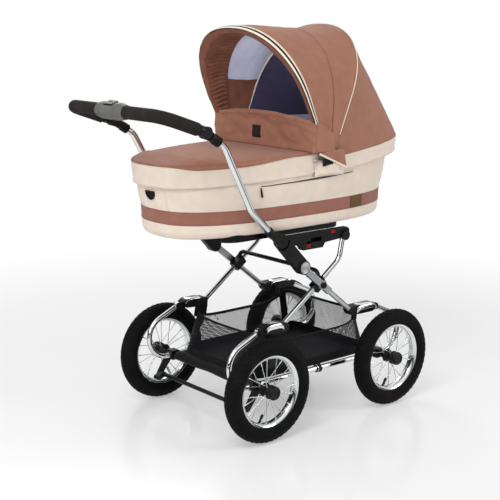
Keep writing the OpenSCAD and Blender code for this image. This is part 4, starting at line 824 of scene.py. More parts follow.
def unit_cap(name, node):
    """A bent sheet over the top of a spring unit, made from the unit's own box."""
    low, high = (np.array(v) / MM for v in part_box(node))
    middle_y = (low[1] + high[1]) / 2
    half = (high[1] - low[1]) / 2
    start, end = low[0] + CAP_START, high[0] - CAP_STOP
    rows = []
    for x in np.linspace(start, end, 17):
        t = (x - start) / (end - start)
        drop = CAP_END_DROP * abs(2 * t - 1) ** 5
        row = []
        for y in np.linspace(-1, 1, 15):
            edge = CAP_EDGE_DROP * abs(y) ** 6
            row.append((x, middle_y + y * (half + CAP_OFF), high[2] + CAP_OFF - drop - edge))
        outer = [(x, row[-1][1], row[-1][2] - d) for d in CAP_SIDE] if middle_y > 0 else []
        inner = [(x, row[0][1], row[0][2] - d) for d in CAP_SIDE[::-1]] if middle_y < 0 else []
        rows.append(inner + row + outer)
    made = rows_piece(name, rows, chrome, inside=(start, middle_y, low[2]))
    return thicken(made, CAP_SHEET, offset=1.0)


UNITS = {"rear_unit": "frame_a", "front_unit": "frame_b"}
for unit, body in UNITS.items():
    for _, label in SIDES:
        node = "%s_%s" % (unit, label)
        put(unit_cap(node + "_cap", node), body)
print("spring unit caps", 2 * len(UNITS))

# %% [markdown]
# The cot is a padded fabric tub. Seen from above its outline lies between an ellipse and a rectangle,
# which a superellipse with one exponent gives. The same formula, at other sizes and heights, makes the body,
# the stripe, both skirts and the mattress, so they keep one shape.

# %% Outline of the cot
SQUARENESS = 2.6
OUTLINE_POWER = 2 / SQUARENESS
DENSE = 4000


def signed_power(value, power):
    """A power that keeps the sign of its base."""
    return np.sign(value) * np.abs(value) ** power


def outline(mid, half_l, half_w, turns):
    """Points of a superellipse; a turn of 0 is the head end and a turn of pi the foot end."""
    return np.stack([mid + half_l * signed_power(np.cos(turns), OUTLINE_POWER),
                     half_w * signed_power(np.sin(turns), OUTLINE_POWER)], axis=-1)


def even_turns(start, end, count, mid, half_l, half_w):
    """Turns that are evenly spaced along the outline between two turns."""
    dense = np.linspace(start, end, DENSE)
    length = lengths(outline(mid, half_l, half_w, dense))
    return np.interp(np.linspace(0, length[-1], count), length, dense)


def turn_at(mid, half_l, x):
    """Turn at which the far half of the outline passes a place along X."""
    return math.acos(max(-1, min(1, signed_power(np.array((x - mid) / half_l), 1 / OUTLINE_POWER))))


def pushed(points, normals, distance):
    """Moves points along their normals."""
    return points + normals * np.asarray(distance)[..., None]


def outline_normals(points, mid):
    """Level directions that point out of the outline, from the direction along it."""
    ahead = np.roll(points, -1, axis=-2) - np.roll(points, 1, axis=-2)
    out = np.stack([ahead[..., 1], -ahead[..., 0], np.zeros(ahead.shape[:-1])], axis=-1)
    out /= np.linalg.norm(out, axis=-1, keepdims=True)
    sign = np.sign((out[..., :2] * (points[..., :2] - np.array([mid, 0.0]))).sum(axis=-1, keepdims=True))
    return out * sign


print("outline power", round(OUTLINE_POWER, 3))

# %% [markdown]
# The body is one ring surface from the underside to the rim. The cover is padded, so it swells a little
# between its seams, hangs in faint upright creases below the skirt and stays flat under the sewn stripe.

# %% Body of the cot
BODY_MID = -49.0
BODY_L, BODY_W = 420.0, 205.5
BODY_LOW, BODY_HIGH = 604.0, 818.0
STRIPE_LOW, STRIPE_HIGH = 641.0, 681.0
RIM_TILT = 0.04
BODY_LEVELS = np.array([
    # height, middle, half length, half width, tilt
    [BODY_LOW, BODY_MID, 396.0, 188.0, 0.0], [605.5, BODY_MID, 403.0, 193.5, 0.0],
    [610.0, BODY_MID, 410.5, 199.0, 0.0], [620.0, BODY_MID, 416.5, 203.2, 0.0],
    [STRIPE_LOW, BODY_MID, 418.0, 204.5, 0.0], [STRIPE_HIGH, BODY_MID, BODY_L, BODY_W, 0.0],
    [757.0, -42.5, 438.0, 208.0, RIM_TILT], [BODY_HIGH, -40.0, 446.0, 210.0, RIM_TILT]])
AROUND = 300
SIDE_SAG, FOOT_SAG, END_SAG = 2.5, 3.5, 6.0
SAG_FADE, END_FADE = 60, 37
SWELL, LOW_SWELL = 3.0, 0.4
SWELL_TALL, LOW_SWELL_TALL = 90, 34
UPPER_FADE, LOWER_FADE = 12, 10
# Waves of cloth, here and below: height, width, seed, and the squeeze along X, Y and Z.
FINE_CREASE = (1.3, 26.0, 1, (1.0, 1.0, 0.25))
BROAD_CREASE = (2.0, 95.0, 2, (1.0, 1.0, 0.5))
CREASE_SHARE, LOW_CREASE_SHARE = 0.85, 0.1


def cot_ring(height, turns, grow=0.0):
    """One level ring of the cot, swollen and creased as its cover is; grow moves it outwards."""
    mid, half_l, half_w, tilt = (np.interp(height, BODY_LEVELS[:, 0], BODY_LEVELS[:, k]) for k in range(1, 5))
    flat = outline(mid, half_l, half_w, turns)
    ring = np.concatenate([flat, (height + tilt * flat[:, :1])], axis=1)
    along_x = (flat[:, 0] - mid) / half_l
    sag = SIDE_SAG + FOOT_SAG * np.clip(-along_x, 0, 1) ** 2
    ring[:, 2] -= sag * (1 - smooth((height - STRIPE_HIGH) / SAG_FADE))
    ring[:, 2] -= END_SAG * np.abs(along_x) ** 3 * (1 - smooth((height - BODY_LOW) / END_FADE))
    normals = outline_normals(ring, mid)
    upper = smooth((height - STRIPE_HIGH) / UPPER_FADE)
    lower = 1 - smooth((height - STRIPE_LOW + LOWER_FADE) / LOWER_FADE)
    swell = SWELL * upper * math.sin(math.pi * np.clip((height - STRIPE_HIGH) / SWELL_TALL, 0, 1))
    swell += LOW_SWELL * lower * math.sin(math.pi * np.clip((height - BODY_LOW - 2) / LOW_SWELL_TALL, 0, 1))
    creases = waves(ring, *FINE_CREASE) + waves(ring, *BROAD_CREASE)
    return pushed(ring, normals, grow + swell + creases * (CREASE_SHARE * upper + LOW_CREASE_SHARE * lower))


def shrunk(ring, share):
    """A ring drawn in towards the middle of the cot."""
    return ring * np.array([share, share, 1.0]) + np.array([BODY_MID * (1 - share), 0, 0])


def side_turns(start, end, count, side):
    """Turns of the body's outline between two places along X, on the far side (1) or the near side (-1)."""
    span = np.array([turn_at(BODY_MID, BODY_L, x) for x in np.linspace(start, end, count)])
    return span if side > 0 else 2 * math.pi - span


body_turns = even_turns(0, 2 * math.pi, AROUND + 1, BODY_MID, BODY_L, BODY_W)[:-1]
heights = np.concatenate([
    np.linspace(BODY_LOW, 612, 6), np.linspace(614, 640, 9), np.linspace(STRIPE_LOW, STRIPE_HIGH, 8),
    np.linspace(683, BODY_HIGH, 40)])
rows = [cot_ring(h, body_turns) for h in heights]
under = [shrunk(rows[0], s) for s in (0.02, 0.3, 0.6, 0.85, 0.97)]
fold = [pushed(rows[-1], outline_normals(rows[-1], BODY_MID), np.full(AROUND, -d)) + np.array([0, 0, z])
        for d, z in ((1.5, 2.0), (5.0, 2.6), (7.5, 0.5))]
cot_body = rows_piece("cot_body", under + rows + fold, cream_cloth, ring=True, inside=(BODY_MID, 0, 720))
print("cot rings", len(rows))

# %% [markdown]
# The lining follows the inside of the body, as far in as the padding is thick, and closes over the floor.
# It is sewn to the body along the rim, so both are stretched over the pan below.

# %% Lining of the cot
LINING_TOP, LINING_LOW = 820, 617
LINING_HELD = 817.5
PADDING = 8.5
lining_rows = []
for height in np.linspace(LINING_TOP, LINING_LOW, 26):
    ring = cot_ring(min(height, LINING_HELD), body_turns, -PADDING)
    ring[:, 2] += height - min(height, LINING_HELD)
    lining_rows.append(ring)
floor_ring = lining_rows[-1] * np.array([0.96, 0.94, 1.0]) + np.array([BODY_MID * 0.04, 0, -3.0])
lining_rows += [shrunk(floor_ring, s) for s in (1.0, 0.6, 0.02)]
cot_lining = rows_piece("cot_lining", lining_rows, blue_lining, ring=True, inside=(BODY_MID, 0, 3000))
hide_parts("body_shell")
for made in (cot_body, cot_lining):
    put(made, "bassinet")
print("lining rings", len(lining_rows))

# %% [markdown]
# Stitches repeat along a seam, so a Geometry Nodes tree lays them: it turns a line of points into a curve,
# spaces it evenly and sets a short thread on each place. Thread is 0.4 mm thick in fact;
# it is drawn twice as thick so that a seam shows.

# %% Stitches along a seam
stitch_tree, given = begin_tree(
    "stitches_on_a_seam", Pitch="Float", Stitch="Float", Thread="Float", Finish="Material")
seam = add(stitch_tree, "GeometryNodeMeshToCurve", {"Mesh": given["Geometry"]})
places = add(stitch_tree, "GeometryNodeCurveToPoints", {
    "Curve": seam.outputs[0], "Length": given["Pitch"]}, mode="LENGTH").outputs
thread = add(stitch_tree, "GeometryNodeMeshCylinder", {
    "Vertices": 5, "Radius": given["Thread"], "Depth": given["Stitch"]}, fill_type="TRIANGLE_FAN")
sewn = add(stitch_tree, "GeometryNodeInstanceOnPoints", {
    "Points": places["Points"], "Instance": thread.outputs["Mesh"], "Rotation": places["Rotation"]})
end_tree(stitch_tree, sewn.outputs[0], given["Finish"])


def stitched(name, path, material, pitch=7.0, stitch=4.6, thread_r=0.45, closed=False):
    """A row of stitches along a path of points in millimetres."""
    edges = [(i, i + 1) for i in range(len(path) - 1)] + ([(len(path) - 1, 0)] if closed else [])
    return grown(name, stitch_tree, base=wire(name, path, edges), Pitch=pitch * MM, Stitch=stitch * MM,
                 Thread=thread_r * MM, Finish=material)


print("stitch tree nodes", len(stitch_tree.nodes))

# %% [markdown]
# The brown stripe is a strip of the hood's cloth, sewn on along both edges with a row of stitches.
# It follows the body's own ring formula 1 mm further out, so it lies on the cloth everywhere.

# %% Stripe with its stitching
STRIPE_LIFT = 1.0
STRIPE_EDGE = 0.4
STRIPE_ROUND = 1.2
STITCH_IN = 3.0
stripe_rows = [cot_ring(STRIPE_LOW + STRIPE_EDGE, body_turns, 0.3)]
stripe_rows += [cot_ring(h, body_turns, STRIPE_LIFT)
                for h in np.linspace(STRIPE_LOW + STRIPE_ROUND, STRIPE_HIGH - STRIPE_ROUND, 8)]
stripe_rows += [cot_ring(STRIPE_HIGH - STRIPE_EDGE, body_turns, 0.3)]
stripe = rows_piece("cot_stripe", stripe_rows, stripe_cloth, ring=True, inside=(BODY_MID, 0, 661))
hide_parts("stripe_band")
put(stripe, "bassinet")
for label, height in (("low", STRIPE_LOW + STITCH_IN), ("high", STRIPE_HIGH - STITCH_IN)):
    path = cot_ring(height, body_turns, STRIPE_LIFT + 0.3)
    put(stitched("stripe_stitches_" + label, path, stripe_cloth, closed=True), "bassinet")

FOOT_SEAM_X = -462.0
foot_seam_turn = 2 * math.pi - turn_at(BODY_MID, BODY_L, FOOT_SEAM_X)
beside = np.array([foot_seam_turn - 0.02, foot_seam_turn, foot_seam_turn + 0.02])
FOOT_SEAMS = (("cream", 683.0, 752.0, cream_cloth), ("brown", 642.0, 680.0, stripe_cloth))
for label, low_z, high_z, cloth in FOOT_SEAMS:
    path = [cot_ring(h, beside, STRIPE_LIFT + 0.2)[1] for h in np.linspace(low_z, high_z, 12)]
    put(stitched("foot_seam_" + label, path, cloth, pitch=6.0), "bassinet")
print("stripe rows", len(stripe_rows))

# %% [markdown]
# Two cream skirts hang round the rim: the apron's, round the foot end, and the hood's, round the head end.
# Each is a band sewn into the piece above it, so it puckers along the seam and flares slightly at its hem.

# %% Skirts
SKIRT_MID = -28.0
SKIRT_L, SKIRT_W = 474.0, 214.5
SKIRT_TOP = 822.5
SKIRT_STEPS = 14
SKIRT_INSET = 6.0
SKIRT_WALL = 2.6
PUCKER = (0.9, 17.0, 3, (1, 1, 0.15))
FLARE = (1.6, 70.0, 4, (1, 1, 0.1))
HEM_ROLL = 0.8
ROUND_COLUMNS = 7.0


def skirt_rows(turns, low, low_tilt, high, high_tilt, round_ends):
    """Rows of a band from its seam to its hem, puckered at the seam and flared at the hem."""
    rows = []
    gone = np.minimum(np.arange(len(turns)), np.arange(len(turns))[::-1])
    for k in range(SKIRT_STEPS + 1):
        t = k / SKIRT_STEPS
        inset = SKIRT_INSET * smooth(t) if t < 0.85 else SKIRT_INSET
        flat = outline(SKIRT_MID, SKIRT_L - inset, SKIRT_W - inset / 5, turns)
        top = high + high_tilt * flat[:, 0]
        hem = low + low_tilt * flat[:, 0]
        lift = round_ends * np.clip(1 - gone / ROUND_COLUMNS, 0, 1) ** 2
        ring = np.stack([flat[:, 0], flat[:, 1], top + (hem + lift - top) * t], axis=1)
        normals = outline_normals(ring, SKIRT_MID)
        normals[0], normals[-1] = normals[1], normals[-2]
        pucker = waves(ring, *PUCKER) * (1 - smooth(t / 0.55))
        flare = waves(ring, *FLARE) * smooth(t)
        hem_roll = HEM_ROLL * math.exp(-((t - 0.93) / 0.05) ** 2)
        rows.append(pushed(ring, normals, pucker + flare + hem_roll))
    return rows


def add_skirt(node, turns, levels, round_ends):
    """Builds the cloth of a skirt and its hem stitches, and puts both on the cot."""
    name = node + "_cloth"
    rows = skirt_rows(turns, *levels, round_ends)
    made = thicken(rows_piece(name, rows, cream_cloth, inside=(SKIRT_MID, 0, 790)), SKIRT_WALL)
    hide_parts(node)
    path = pushed(rows[-2], outline_normals(rows[-2], SKIRT_MID), np.full(len(turns), 0.4))[4:-4]
    for part in (made, stitched(name + "_hem", path, cream_cloth, pitch=8.0)):
        put(part, "bassinet")


APRON_SKIRT_X, HOOD_SKIRT_X = -34.0, 76.0
# Levels of a skirt: height and tilt of its hem, height and tilt of its seam.
APRON_SKIRT_LEVELS = (SKIRT_TOP - 61.0, RIM_TILT, SKIRT_TOP, RIM_TILT)
HOOD_SKIRT_LEVELS = (757.0, 0.09, 799.7, 0.1)
apron_start = turn_at(SKIRT_MID, SKIRT_L, APRON_SKIRT_X)
apron_turns = even_turns(apron_start, 2 * math.pi - apron_start, 260, SKIRT_MID, SKIRT_L, SKIRT_W)
add_skirt("apron_skirt", apron_turns, APRON_SKIRT_LEVELS, 14.0)
hood_start = turn_at(SKIRT_MID, SKIRT_L, HOOD_SKIRT_X)
hood_turns = even_turns(-hood_start, hood_start, 220, SKIRT_MID, SKIRT_L, SKIRT_W)
add_skirt("hood_skirt", hood_turns, HOOD_SKIRT_LEVELS, 0.0)
print("skirts", 2)

# %% [markdown]
# The apron covers the foot end like a stretched drum skin with a slack middle: it crowns about 16 mm and lies
# in broad slanting folds. Its border turns down on to the skirt's seam and laps over it round the foot end.

# %% Apron
APRON_FOOT = SKIRT_MID - SKIRT_L + 3.0
APRON_END = -59.0
APRON_FLAT = -86.0
APRON_FULL = -300.0
APRON_CROWN = 16.0
APRON_RISE = 5.0
APRON_LAP = 11.0
FAR_LAP_SHARE = 0.35
LAP_START, LAP_FADE = 80, 190
BORDER_DROP, FOOT_DROP = 4.6, 3.0
BORDER_OUT = 2.4
BORDER_TURN, FOLD_MARGIN = 0.012, 0.16
APRON_EASE = 90
BROAD_FOLD = (8.0, 120.0, 5, (0.5, 1.1, 1.0))
SHARP_FOLD = (4.6, 52.0, 6, (0.35, 1.3, 1.0))
APRON_COLUMNS = 81
APRON_ROWS = 90
APRON_WALL = 2.2


def apron_point_rows():
    """Rows across the apron from the foot end to the flap, each from side to side."""
    rows = []
    across = np.sin(np.linspace(-0.5, 0.5, APRON_COLUMNS) * math.pi)
    for u in np.linspace(0, 1, APRON_ROWS):
        x = APRON_FOOT + (APRON_END - APRON_FOOT) * (1 - math.cos(math.pi / 2 * u ** 0.85))
        reach = max(0.0, 1 - abs((x - SKIRT_MID) / SKIRT_L) ** SQUARENESS) ** (1 / SQUARENESS)
        half = max(10.0, SKIRT_W * reach - 0.3)
        flatter = max(0.0, (x - APRON_FULL) / (APRON_FLAT - APRON_FULL))
        share = min(1.0, (x - APRON_FOOT) / APRON_EASE) * max(0.0, 1 - flatter ** 2)
        crown = APRON_CROWN * share * (1 - np.abs(across) ** 3)
        y = half * across
        slant = np.stack([x * 0.45 + y, x - y * 0.4, np.zeros(APRON_COLUMNS)], axis=1)
        folds = waves(slant, *BROAD_FOLD)
        folds += np.abs(waves(slant, *SHARP_FOLD)) - 0.6
        edge = 1 - np.abs(across)
        down = np.full(APRON_COLUMNS, FOOT_DROP)
        if u > 0.03:
            down = BORDER_DROP * (1 - smooth(edge / BORDER_TURN))
        lap = APRON_LAP * smooth((x - APRON_FOOT) / LAP_START) * (1 - smooth((x - APRON_FULL) / LAP_FADE))
        down += lap * np.where(across < 0, 1.0, FAR_LAP_SHARE) * (np.abs(across) > 0.9999)
        folds = folds * smooth(edge / FOLD_MARGIN) * share
        z = SKIRT_TOP + RIM_TILT * x + APRON_RISE + crown + folds - down
        y = y + np.sign(across) * BORDER_OUT * (np.abs(across) > 0.998)
        rows.append(np.stack([np.full(APRON_COLUMNS, x), y, z], axis=1))
    return rows


apron_rows = apron_point_rows()
apron = thicken(rows_piece("apron_cloth", apron_rows, brown_cloth, inside=(-280, 0, 0)), APRON_WALL)
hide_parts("apron")
put(apron, "bassinet")
for label, column in (("near", 3), ("far", -4)):
    path = np.array([row[column] for row in apron_rows[4:]]) + np.array([0, 0, 0.3])
    put(stitched("apron_edge_" + label, path, brown_cloth, pitch=8.0), "bassinet")
print("apron rows", len(apron_rows))

# %% [markdown]
# The wind flap stands up from the apron and wraps round the hood's front corners. It is one strip of cloth:
# its path runs from the far wing round the front to the near wing, and its height falls towards the wings.

# %% Wind flap
FLAP_X, FLAP_Z = -64.0, 825.6
FLAP_TOP = 934.0
FLAP_HALF = 235.0
WING_END = 14.0
BEND_R = 10.0
SIDE_FALL, WING_FALL = 22.0, 44.0
SWAY, SWAY_MM = 4.2, 44.0
BOW = 10.0
BROAD_WAVE = (6.0, 60.0, 7)
FINE_WAVE = (3.2, 27.0, 21)
HEM_FOLD = 1.1
FLAP_WALL = 2.6
FLAP_ROWS = 30
FLAP_COLUMNS = 161
HEM_ROW = 26


def flap_path(count):
    """Path of the flap seen from above, with the distance along it from the middle."""
    points = [(WING_END, FLAP_HALF), (FLAP_X + BEND_R, FLAP_HALF)]
    points += [(FLAP_X + BEND_R - BEND_R * math.sin(a), FLAP_HALF - BEND_R + BEND_R * math.cos(a))
               for a in np.linspace(0, math.pi / 2, 9)]
    points = np.array(points + [(x, -y) for x, y in reversed(points)])
    length = lengths(points)[-1]
    where = np.linspace(0, length, count)
    return points_at(points, where), where - length / 2


path, run = flap_path(FLAP_COLUMNS)
share = np.clip(np.abs(run) / FLAP_HALF, 0, 1)
wing = np.clip((np.abs(run) - FLAP_HALF) / (WING_END - FLAP_X), 0, 1)
flap_high = FLAP_TOP - SIDE_FALL * share ** 2.2 - WING_FALL * wing ** 1.6
flap_rows = []
for t in np.linspace(0, 1, FLAP_ROWS):
    z = FLAP_Z + (flap_high - FLAP_Z) * t
    sway = SWAY * np.sin(run / SWAY_MM + 1.6 * t) * (1 - share ** 2) * math.sin(math.pi * min(1.0, t * 0.62))
    slant = np.stack([run * 0.8 + z * 0.9, run * 0, z * 1.2 - run * 0.25], axis=1)
    wave = (waves(slant, *BROAD_WAVE) + waves(slant, *FINE_WAVE)) * smooth(t / 0.3)
    bow = -BOW * (1 - share ** 2) * smooth(t) * t
    fold = HEM_FOLD * math.exp(-((t - 0.9) / 0.03) ** 2)
    x = path[:, 0] + (sway + wave + bow - fold) * (1 - wing)
    y = path[:, 1] + np.sign(path[:, 1]) * (wave * 0.4 + 0.4) * wing
    flap_rows.append(np.stack([x, y, z], axis=1))
flap = thicken(rows_piece("wind_flap_cloth", flap_rows, brown_cloth, inside=(300, 0, 880)), FLAP_WALL)
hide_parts("wind_flap")
hem_line = np.array(flap_rows[HEM_ROW]) - np.array([0.6, 0, 0])
flap_hem = stitched("wind_flap_hem", hem_line[20:-20], brown_cloth, pitch=7.0)
print("flap columns", len(run))

# %% [markdown]
# A small dark patch, left plain, lies on the front of the flap and follows its waves.
# A raised seam runs up each of the two bends.

# %% Patch and seams of the flap
PATCH_Y, PATCH_Z = 24.0, 868.0
PATCH_HALF = 19.0
PATCH_LIFT, PATCH_EDGE_LIFT = 1.6, 0.8
patch_rows = []
for s in np.linspace(-1, 1, 13):
    row = []
    for t in np.linspace(-1, 1, 13):
        y, z = PATCH_Y + PATCH_HALF * t, PATCH_Z + PATCH_HALF * s
        column = int(np.argmin(np.abs(run + y)))
        level = np.interp(z, [r[column][2] for r in flap_rows], np.arange(len(flap_rows)))
        lift = PATCH_LIFT if max(abs(s), abs(t)) < 0.9 else PATCH_EDGE_LIFT
        row.append((flap_rows[int(round(level))][column][0] - lift, y, z))
    patch_rows.append(row)
patch = rows_piece("wind_flap_patch", patch_rows, patch_cloth, inside=(300, 0, 880))
flap_parts = [flap, flap_hem, patch]
for side, label in ((1, "r"), (-1, "l")):
    bend_column = int(np.argmin(np.abs(run - side * FLAP_HALF)))
    seam_line = np.array([row[bend_column] for row in flap_rows[1:-1]]) + np.array([-0.3, -side * 0.3, 0])
    flap_parts.append(tube_piece("wind_flap_seam_" + label, seam_line, 0.9, stripe_cloth, sides=6))
for made in flap_parts:
    put(made, "wind_flap")
print("flap pieces", len(flap_parts))

# %% [markdown]
# The hood is cloth stretched over two hoops that turn on one pivot: a front hoop that folds back, and a rear
# one that stays. Between hoops the cloth takes the shortest way, so its ridge is nearly straight from hoop to
# hoop. The front canopy is one curved sheet of arches at growing leans. It closes like a fan when the front
# hoop folds.

# %% Hood shape
HOOD_PIVOT = np.array([4.0, 0.0, 775.0])
HOOD_CENTRE = HOOD_PIVOT + np.array([0, 0, 205.0])
HOOD_ARCH_POWER = 0.88
HOOD_LEG = 34.0
FRONT_LEAN, REAR_LEAN = -24.3, 22.3
FRONT_EDGE, REAR_EDGE = -25.2, 22.2
FRONT_HALF = 232.0
FRONT_TOP = 447.0
NARROWER = 8.0
ARCH_COUNT = 141
ARCH_STEP = 7.6
# At each lean the arch is pulled down to a share of its full height.
LEANS = np.array([FRONT_EDGE, -22.0, -16.0, -9.0, 0.0, 7.0, 13.0, 18.0, REAR_EDGE])
PULLS = np.array([1.0, 0.985, 0.955, 0.924, 0.9, 0.9, 0.918, 0.956, 0.995])


def arch(half, top, foot, count, power=HOOD_ARCH_POWER):
    """Evenly spaced points of a hood arch in its own plane: across, and up from the pivot."""
    t = np.linspace(math.pi, 0, 600)
    leg = top - half
    line = np.stack([half * signed_power(np.cos(t), power), leg + half * np.abs(np.sin(t)) ** power], axis=1)
    line = np.concatenate([[(-half, foot)], line, [(half, foot)]])
    return points_at(line, np.linspace(0, lengths(line)[-1], count))


def leaned(flat, degrees):
    """Arch points in the pram's frame, at a lean that is positive towards the head end."""
    a = math.radians(degrees)
    x = HOOD_PIVOT[0] + flat[:, 1] * math.sin(a)
    return np.stack([x, flat[:, 0], HOOD_PIVOT[2] + flat[:, 1] * math.cos(a)], axis=1)


def canopy_size(degrees):
    """Half width of the front canopy's arch at a lean, and its share of the full height."""
    narrow = np.interp(degrees, [FRONT_EDGE, REAR_EDGE], [0.0, NARROWER])
    return FRONT_HALF - narrow, np.interp(degrees, LEANS, PULLS)


def front_arch(degrees, inset=0.0, count=ARCH_COUNT, power=HOOD_ARCH_POWER):
    """One arch of the front canopy; inset moves it towards the inside."""
    half, pull = canopy_size(degrees)
    return leaned(arch(half - inset, (FRONT_TOP - inset) * pull, HOOD_LEG, count, power), degrees)


def field_of(across, ahead):
    """Places on a flat cloth, for noise that follows the cloth."""
    return np.stack([across, np.full(len(across), ahead), np.zeros(len(across))], axis=1)


def fan(made):
    """Bakes the cloth's transform into its mesh."""
    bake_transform(made)


print("hood leans", FRONT_LEAN, REAR_LEAN)

# %% [markdown]
# Stretched cloth shows drag lines that run from the pivots up over the hood, and a sewn seam between its two
# gores. Noise that is long in the direction of the pull makes the drag lines.

# %% Front canopy
MID_SEAM_LEAN = 3.0
SEAM_DIP, SEAM_WIDE_DEG = 5.0, 0.55
FRONT_DRAG = (3.0, 60.0, 8)
FRONT_FINE_DRAG = (1.4, 26.0, 9, (1.0, 1.6, 1.0))
CANOPY_WALL = 1.6
front_leans = np.concatenate([
    np.linspace(FRONT_EDGE, -22.0, 5), np.linspace(-21.0, 0.8, 23), np.linspace(1.4, 4.6, 13),
    np.linspace(5.2, REAR_EDGE, 19)])
along_arch = np.linspace(0, 1, ARCH_COUNT)
front_rows = []
for degrees in front_leans:
    row = front_arch(degrees)
    held = smooth((degrees - FRONT_EDGE) / 4) * smooth((REAR_EDGE - degrees) / 3)
    field = field_of(along_arch * 260, degrees * 5.2)
    drag = waves(field, *FRONT_DRAG) + waves(field, *FRONT_FINE_DRAG)
    seam_dip = -SEAM_DIP * math.exp(-((degrees - MID_SEAM_LEAN) / SEAM_WIDE_DEG) ** 2)
    front_rows.append(row - towards(row, HOOD_CENTRE) * ((drag + seam_dip) * held)[:, None])
front_canopy = rows_piece("hood_front_cloth", front_rows, brown_cloth, inside=(0, 0, 900))
thicken(front_canopy, CANOPY_WALL)
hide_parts("hood_front_canopy")
fan(front_canopy)
print("front canopy rows", len(front_rows))

# %% [markdown]
# The hood's front edge is bound with three flat tapes side by side: cream, black and cream. Each is a low
# rounded strip that follows the canopy's first arches, a tape's width further on than the last.

# %% Front tapes
TAPES = (("front", cream_piping), ("middle", black_piping), ("rear", cream_piping))
TAPE_HALF_DEG = 0.6
TAPE_EDGE, TAPE_RISE = 0.4, 1.9
TAPE_FOOT = 146.0
TAPE_FRONT = -25.6
TAPE_COUNT = 161
for k, (label, cloth) in enumerate(TAPES):
    rows = []
    for t in np.linspace(-1, 1, 9):
        degrees = TAPE_FRONT + TAPE_HALF_DEG * (2 * k + t)
        rise = TAPE_EDGE + TAPE_RISE * math.sqrt(max(1 - t * t, 0.0))
        half, pull = canopy_size(degrees)
        rows.append(leaned(arch(half + rise, FRONT_TOP * pull + rise, TAPE_FOOT, TAPE_COUNT), degrees))
    tape = rows_piece("hood_tape_" + label, rows, cloth, inside=(0, 0, 900))
    put(tape, "hood_front")
print("front tapes", len(TAPES))

# %% [markdown]
# Behind the rear hoop the hood runs down to the skirt at the head end. Each line from the hoop to the hem is
# a curve with one control point, so the head end is full at the shoulder and drops steeply.

# %% Rear canopy
REAR_HALF = 224.0
REAR_TOP = 445.0
HEAD_HEM = 800.0
HEM_TILT = 0.1
HEM_X = 38.0
REAR_STEPS = 46
REAR_CENTRE = (150.0, 0.0, 920.0)
REAR_DRAG = (3.0, 75.0, 10, (1.0, 0.5, 1.0))
REAR_FINE_DRAG = (1.5, 34.0, 11)
PIPING_R, PIPING_FOOT = 1.4, 104.0
hem_turn = turn_at(SKIRT_MID, SKIRT_L, HEM_X)
hem_turns = even_turns(-hem_turn, hem_turn, ARCH_COUNT, SKIRT_MID, SKIRT_L, SKIRT_W)


def rear_rows(inset, steps):
    """Rows of the rear canopy from the rear hoop to the hem."""
    start = leaned(arch(REAR_HALF - inset, REAR_TOP - inset, HOOD_LEG, ARCH_COUNT), REAR_LEAN)
    flat = outline(SKIRT_MID, SKIRT_L - inset, SKIRT_W - inset, hem_turns)
    finish = np.stack([flat[:, 0], flat[:, 1], HEAD_HEM + HEM_TILT * flat[:, 0]], axis=1)
    side = smooth(np.abs(np.linspace(-1, 1, ARCH_COUNT)) / 0.2)
    bend = np.stack([start[:, 0] + (0.72 - 0.28 * side) * (finish[:, 0] - start[:, 0]),
                     (start[:, 1] + finish[:, 1]) / 2 * (1.04 - 0.05 * side),
                     start[:, 2] + (0.2 + 0.2 * side) * (finish[:, 2] - start[:, 2])], axis=1)
    return [start * (1 - u) ** 2 + bend * 2 * u * (1 - u) + finish * u * u for u in np.linspace(0, 1, steps)]


rear_outer = []
for k, row in enumerate(rear_rows(0.0, REAR_STEPS)):
    u = k / (REAR_STEPS - 1)
    field = field_of(along_arch * 420, u * 230)
    drag = waves(field, *REAR_DRAG) + waves(field, *REAR_FINE_DRAG)
    held = smooth(u / 0.12) * smooth((1 - u) / 0.1)
    rear_outer.append(row - towards(row, REAR_CENTRE) * (drag * held)[:, None])
rear_canopy = rows_piece("hood_rear_cloth", rear_outer, brown_cloth, inside=(150, 0, 900))
thicken(rear_canopy, CANOPY_WALL)
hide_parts("hood_rear_canopy")
seam_path = leaned(arch(REAR_HALF + 1.0, REAR_TOP + 1.0, PIPING_FOOT, TAPE_COUNT), REAR_LEAN - 0.1)
rear_piping = tube_piece("hood_rear_piping", seam_path, PIPING_R, cream_piping, sides=10)
put(rear_canopy, "bassinet")
put(rear_piping, "bassinet")
print("rear canopy rows", len(rear_outer))

# %% [markdown]
# Inside, a brown facing runs round the front edge, gathered by an elastic. Behind it the roof is light blue
# cotton and the sides are brown again. Pleats rise from the facing's free edge and fade out where it is sewn
# to the roof.

# %% Lining of the front canopy
FACING_EDGE = -26.2
FACING_TURN = -25.7
FACING_END = -7.0
LINING_IN = 11.0
ROOF_END = 21.6
ROOF_FROM, ROOF_TO = 29, 111
LAST = ARCH_COUNT - 1
FACING_FINE = 3
PLEAT_MM, PLEAT_DEEP = 15.0, 9.0
PLEAT_WANDER = 9.0
FACING_BEGUN = -25.4
LEG_ROOM = 6.0
SEWN_FADE_DEG = 5
LINING_LEANS = (FACING_EDGE, FACING_TURN, -21.0, FACING_END)
LINING_INSETS = (-0.2, 14.5, 13.5, LINING_IN)
LINING_POWERS = (HOOD_ARCH_POWER, 1.0, 1.0, HOOD_ARCH_POWER)


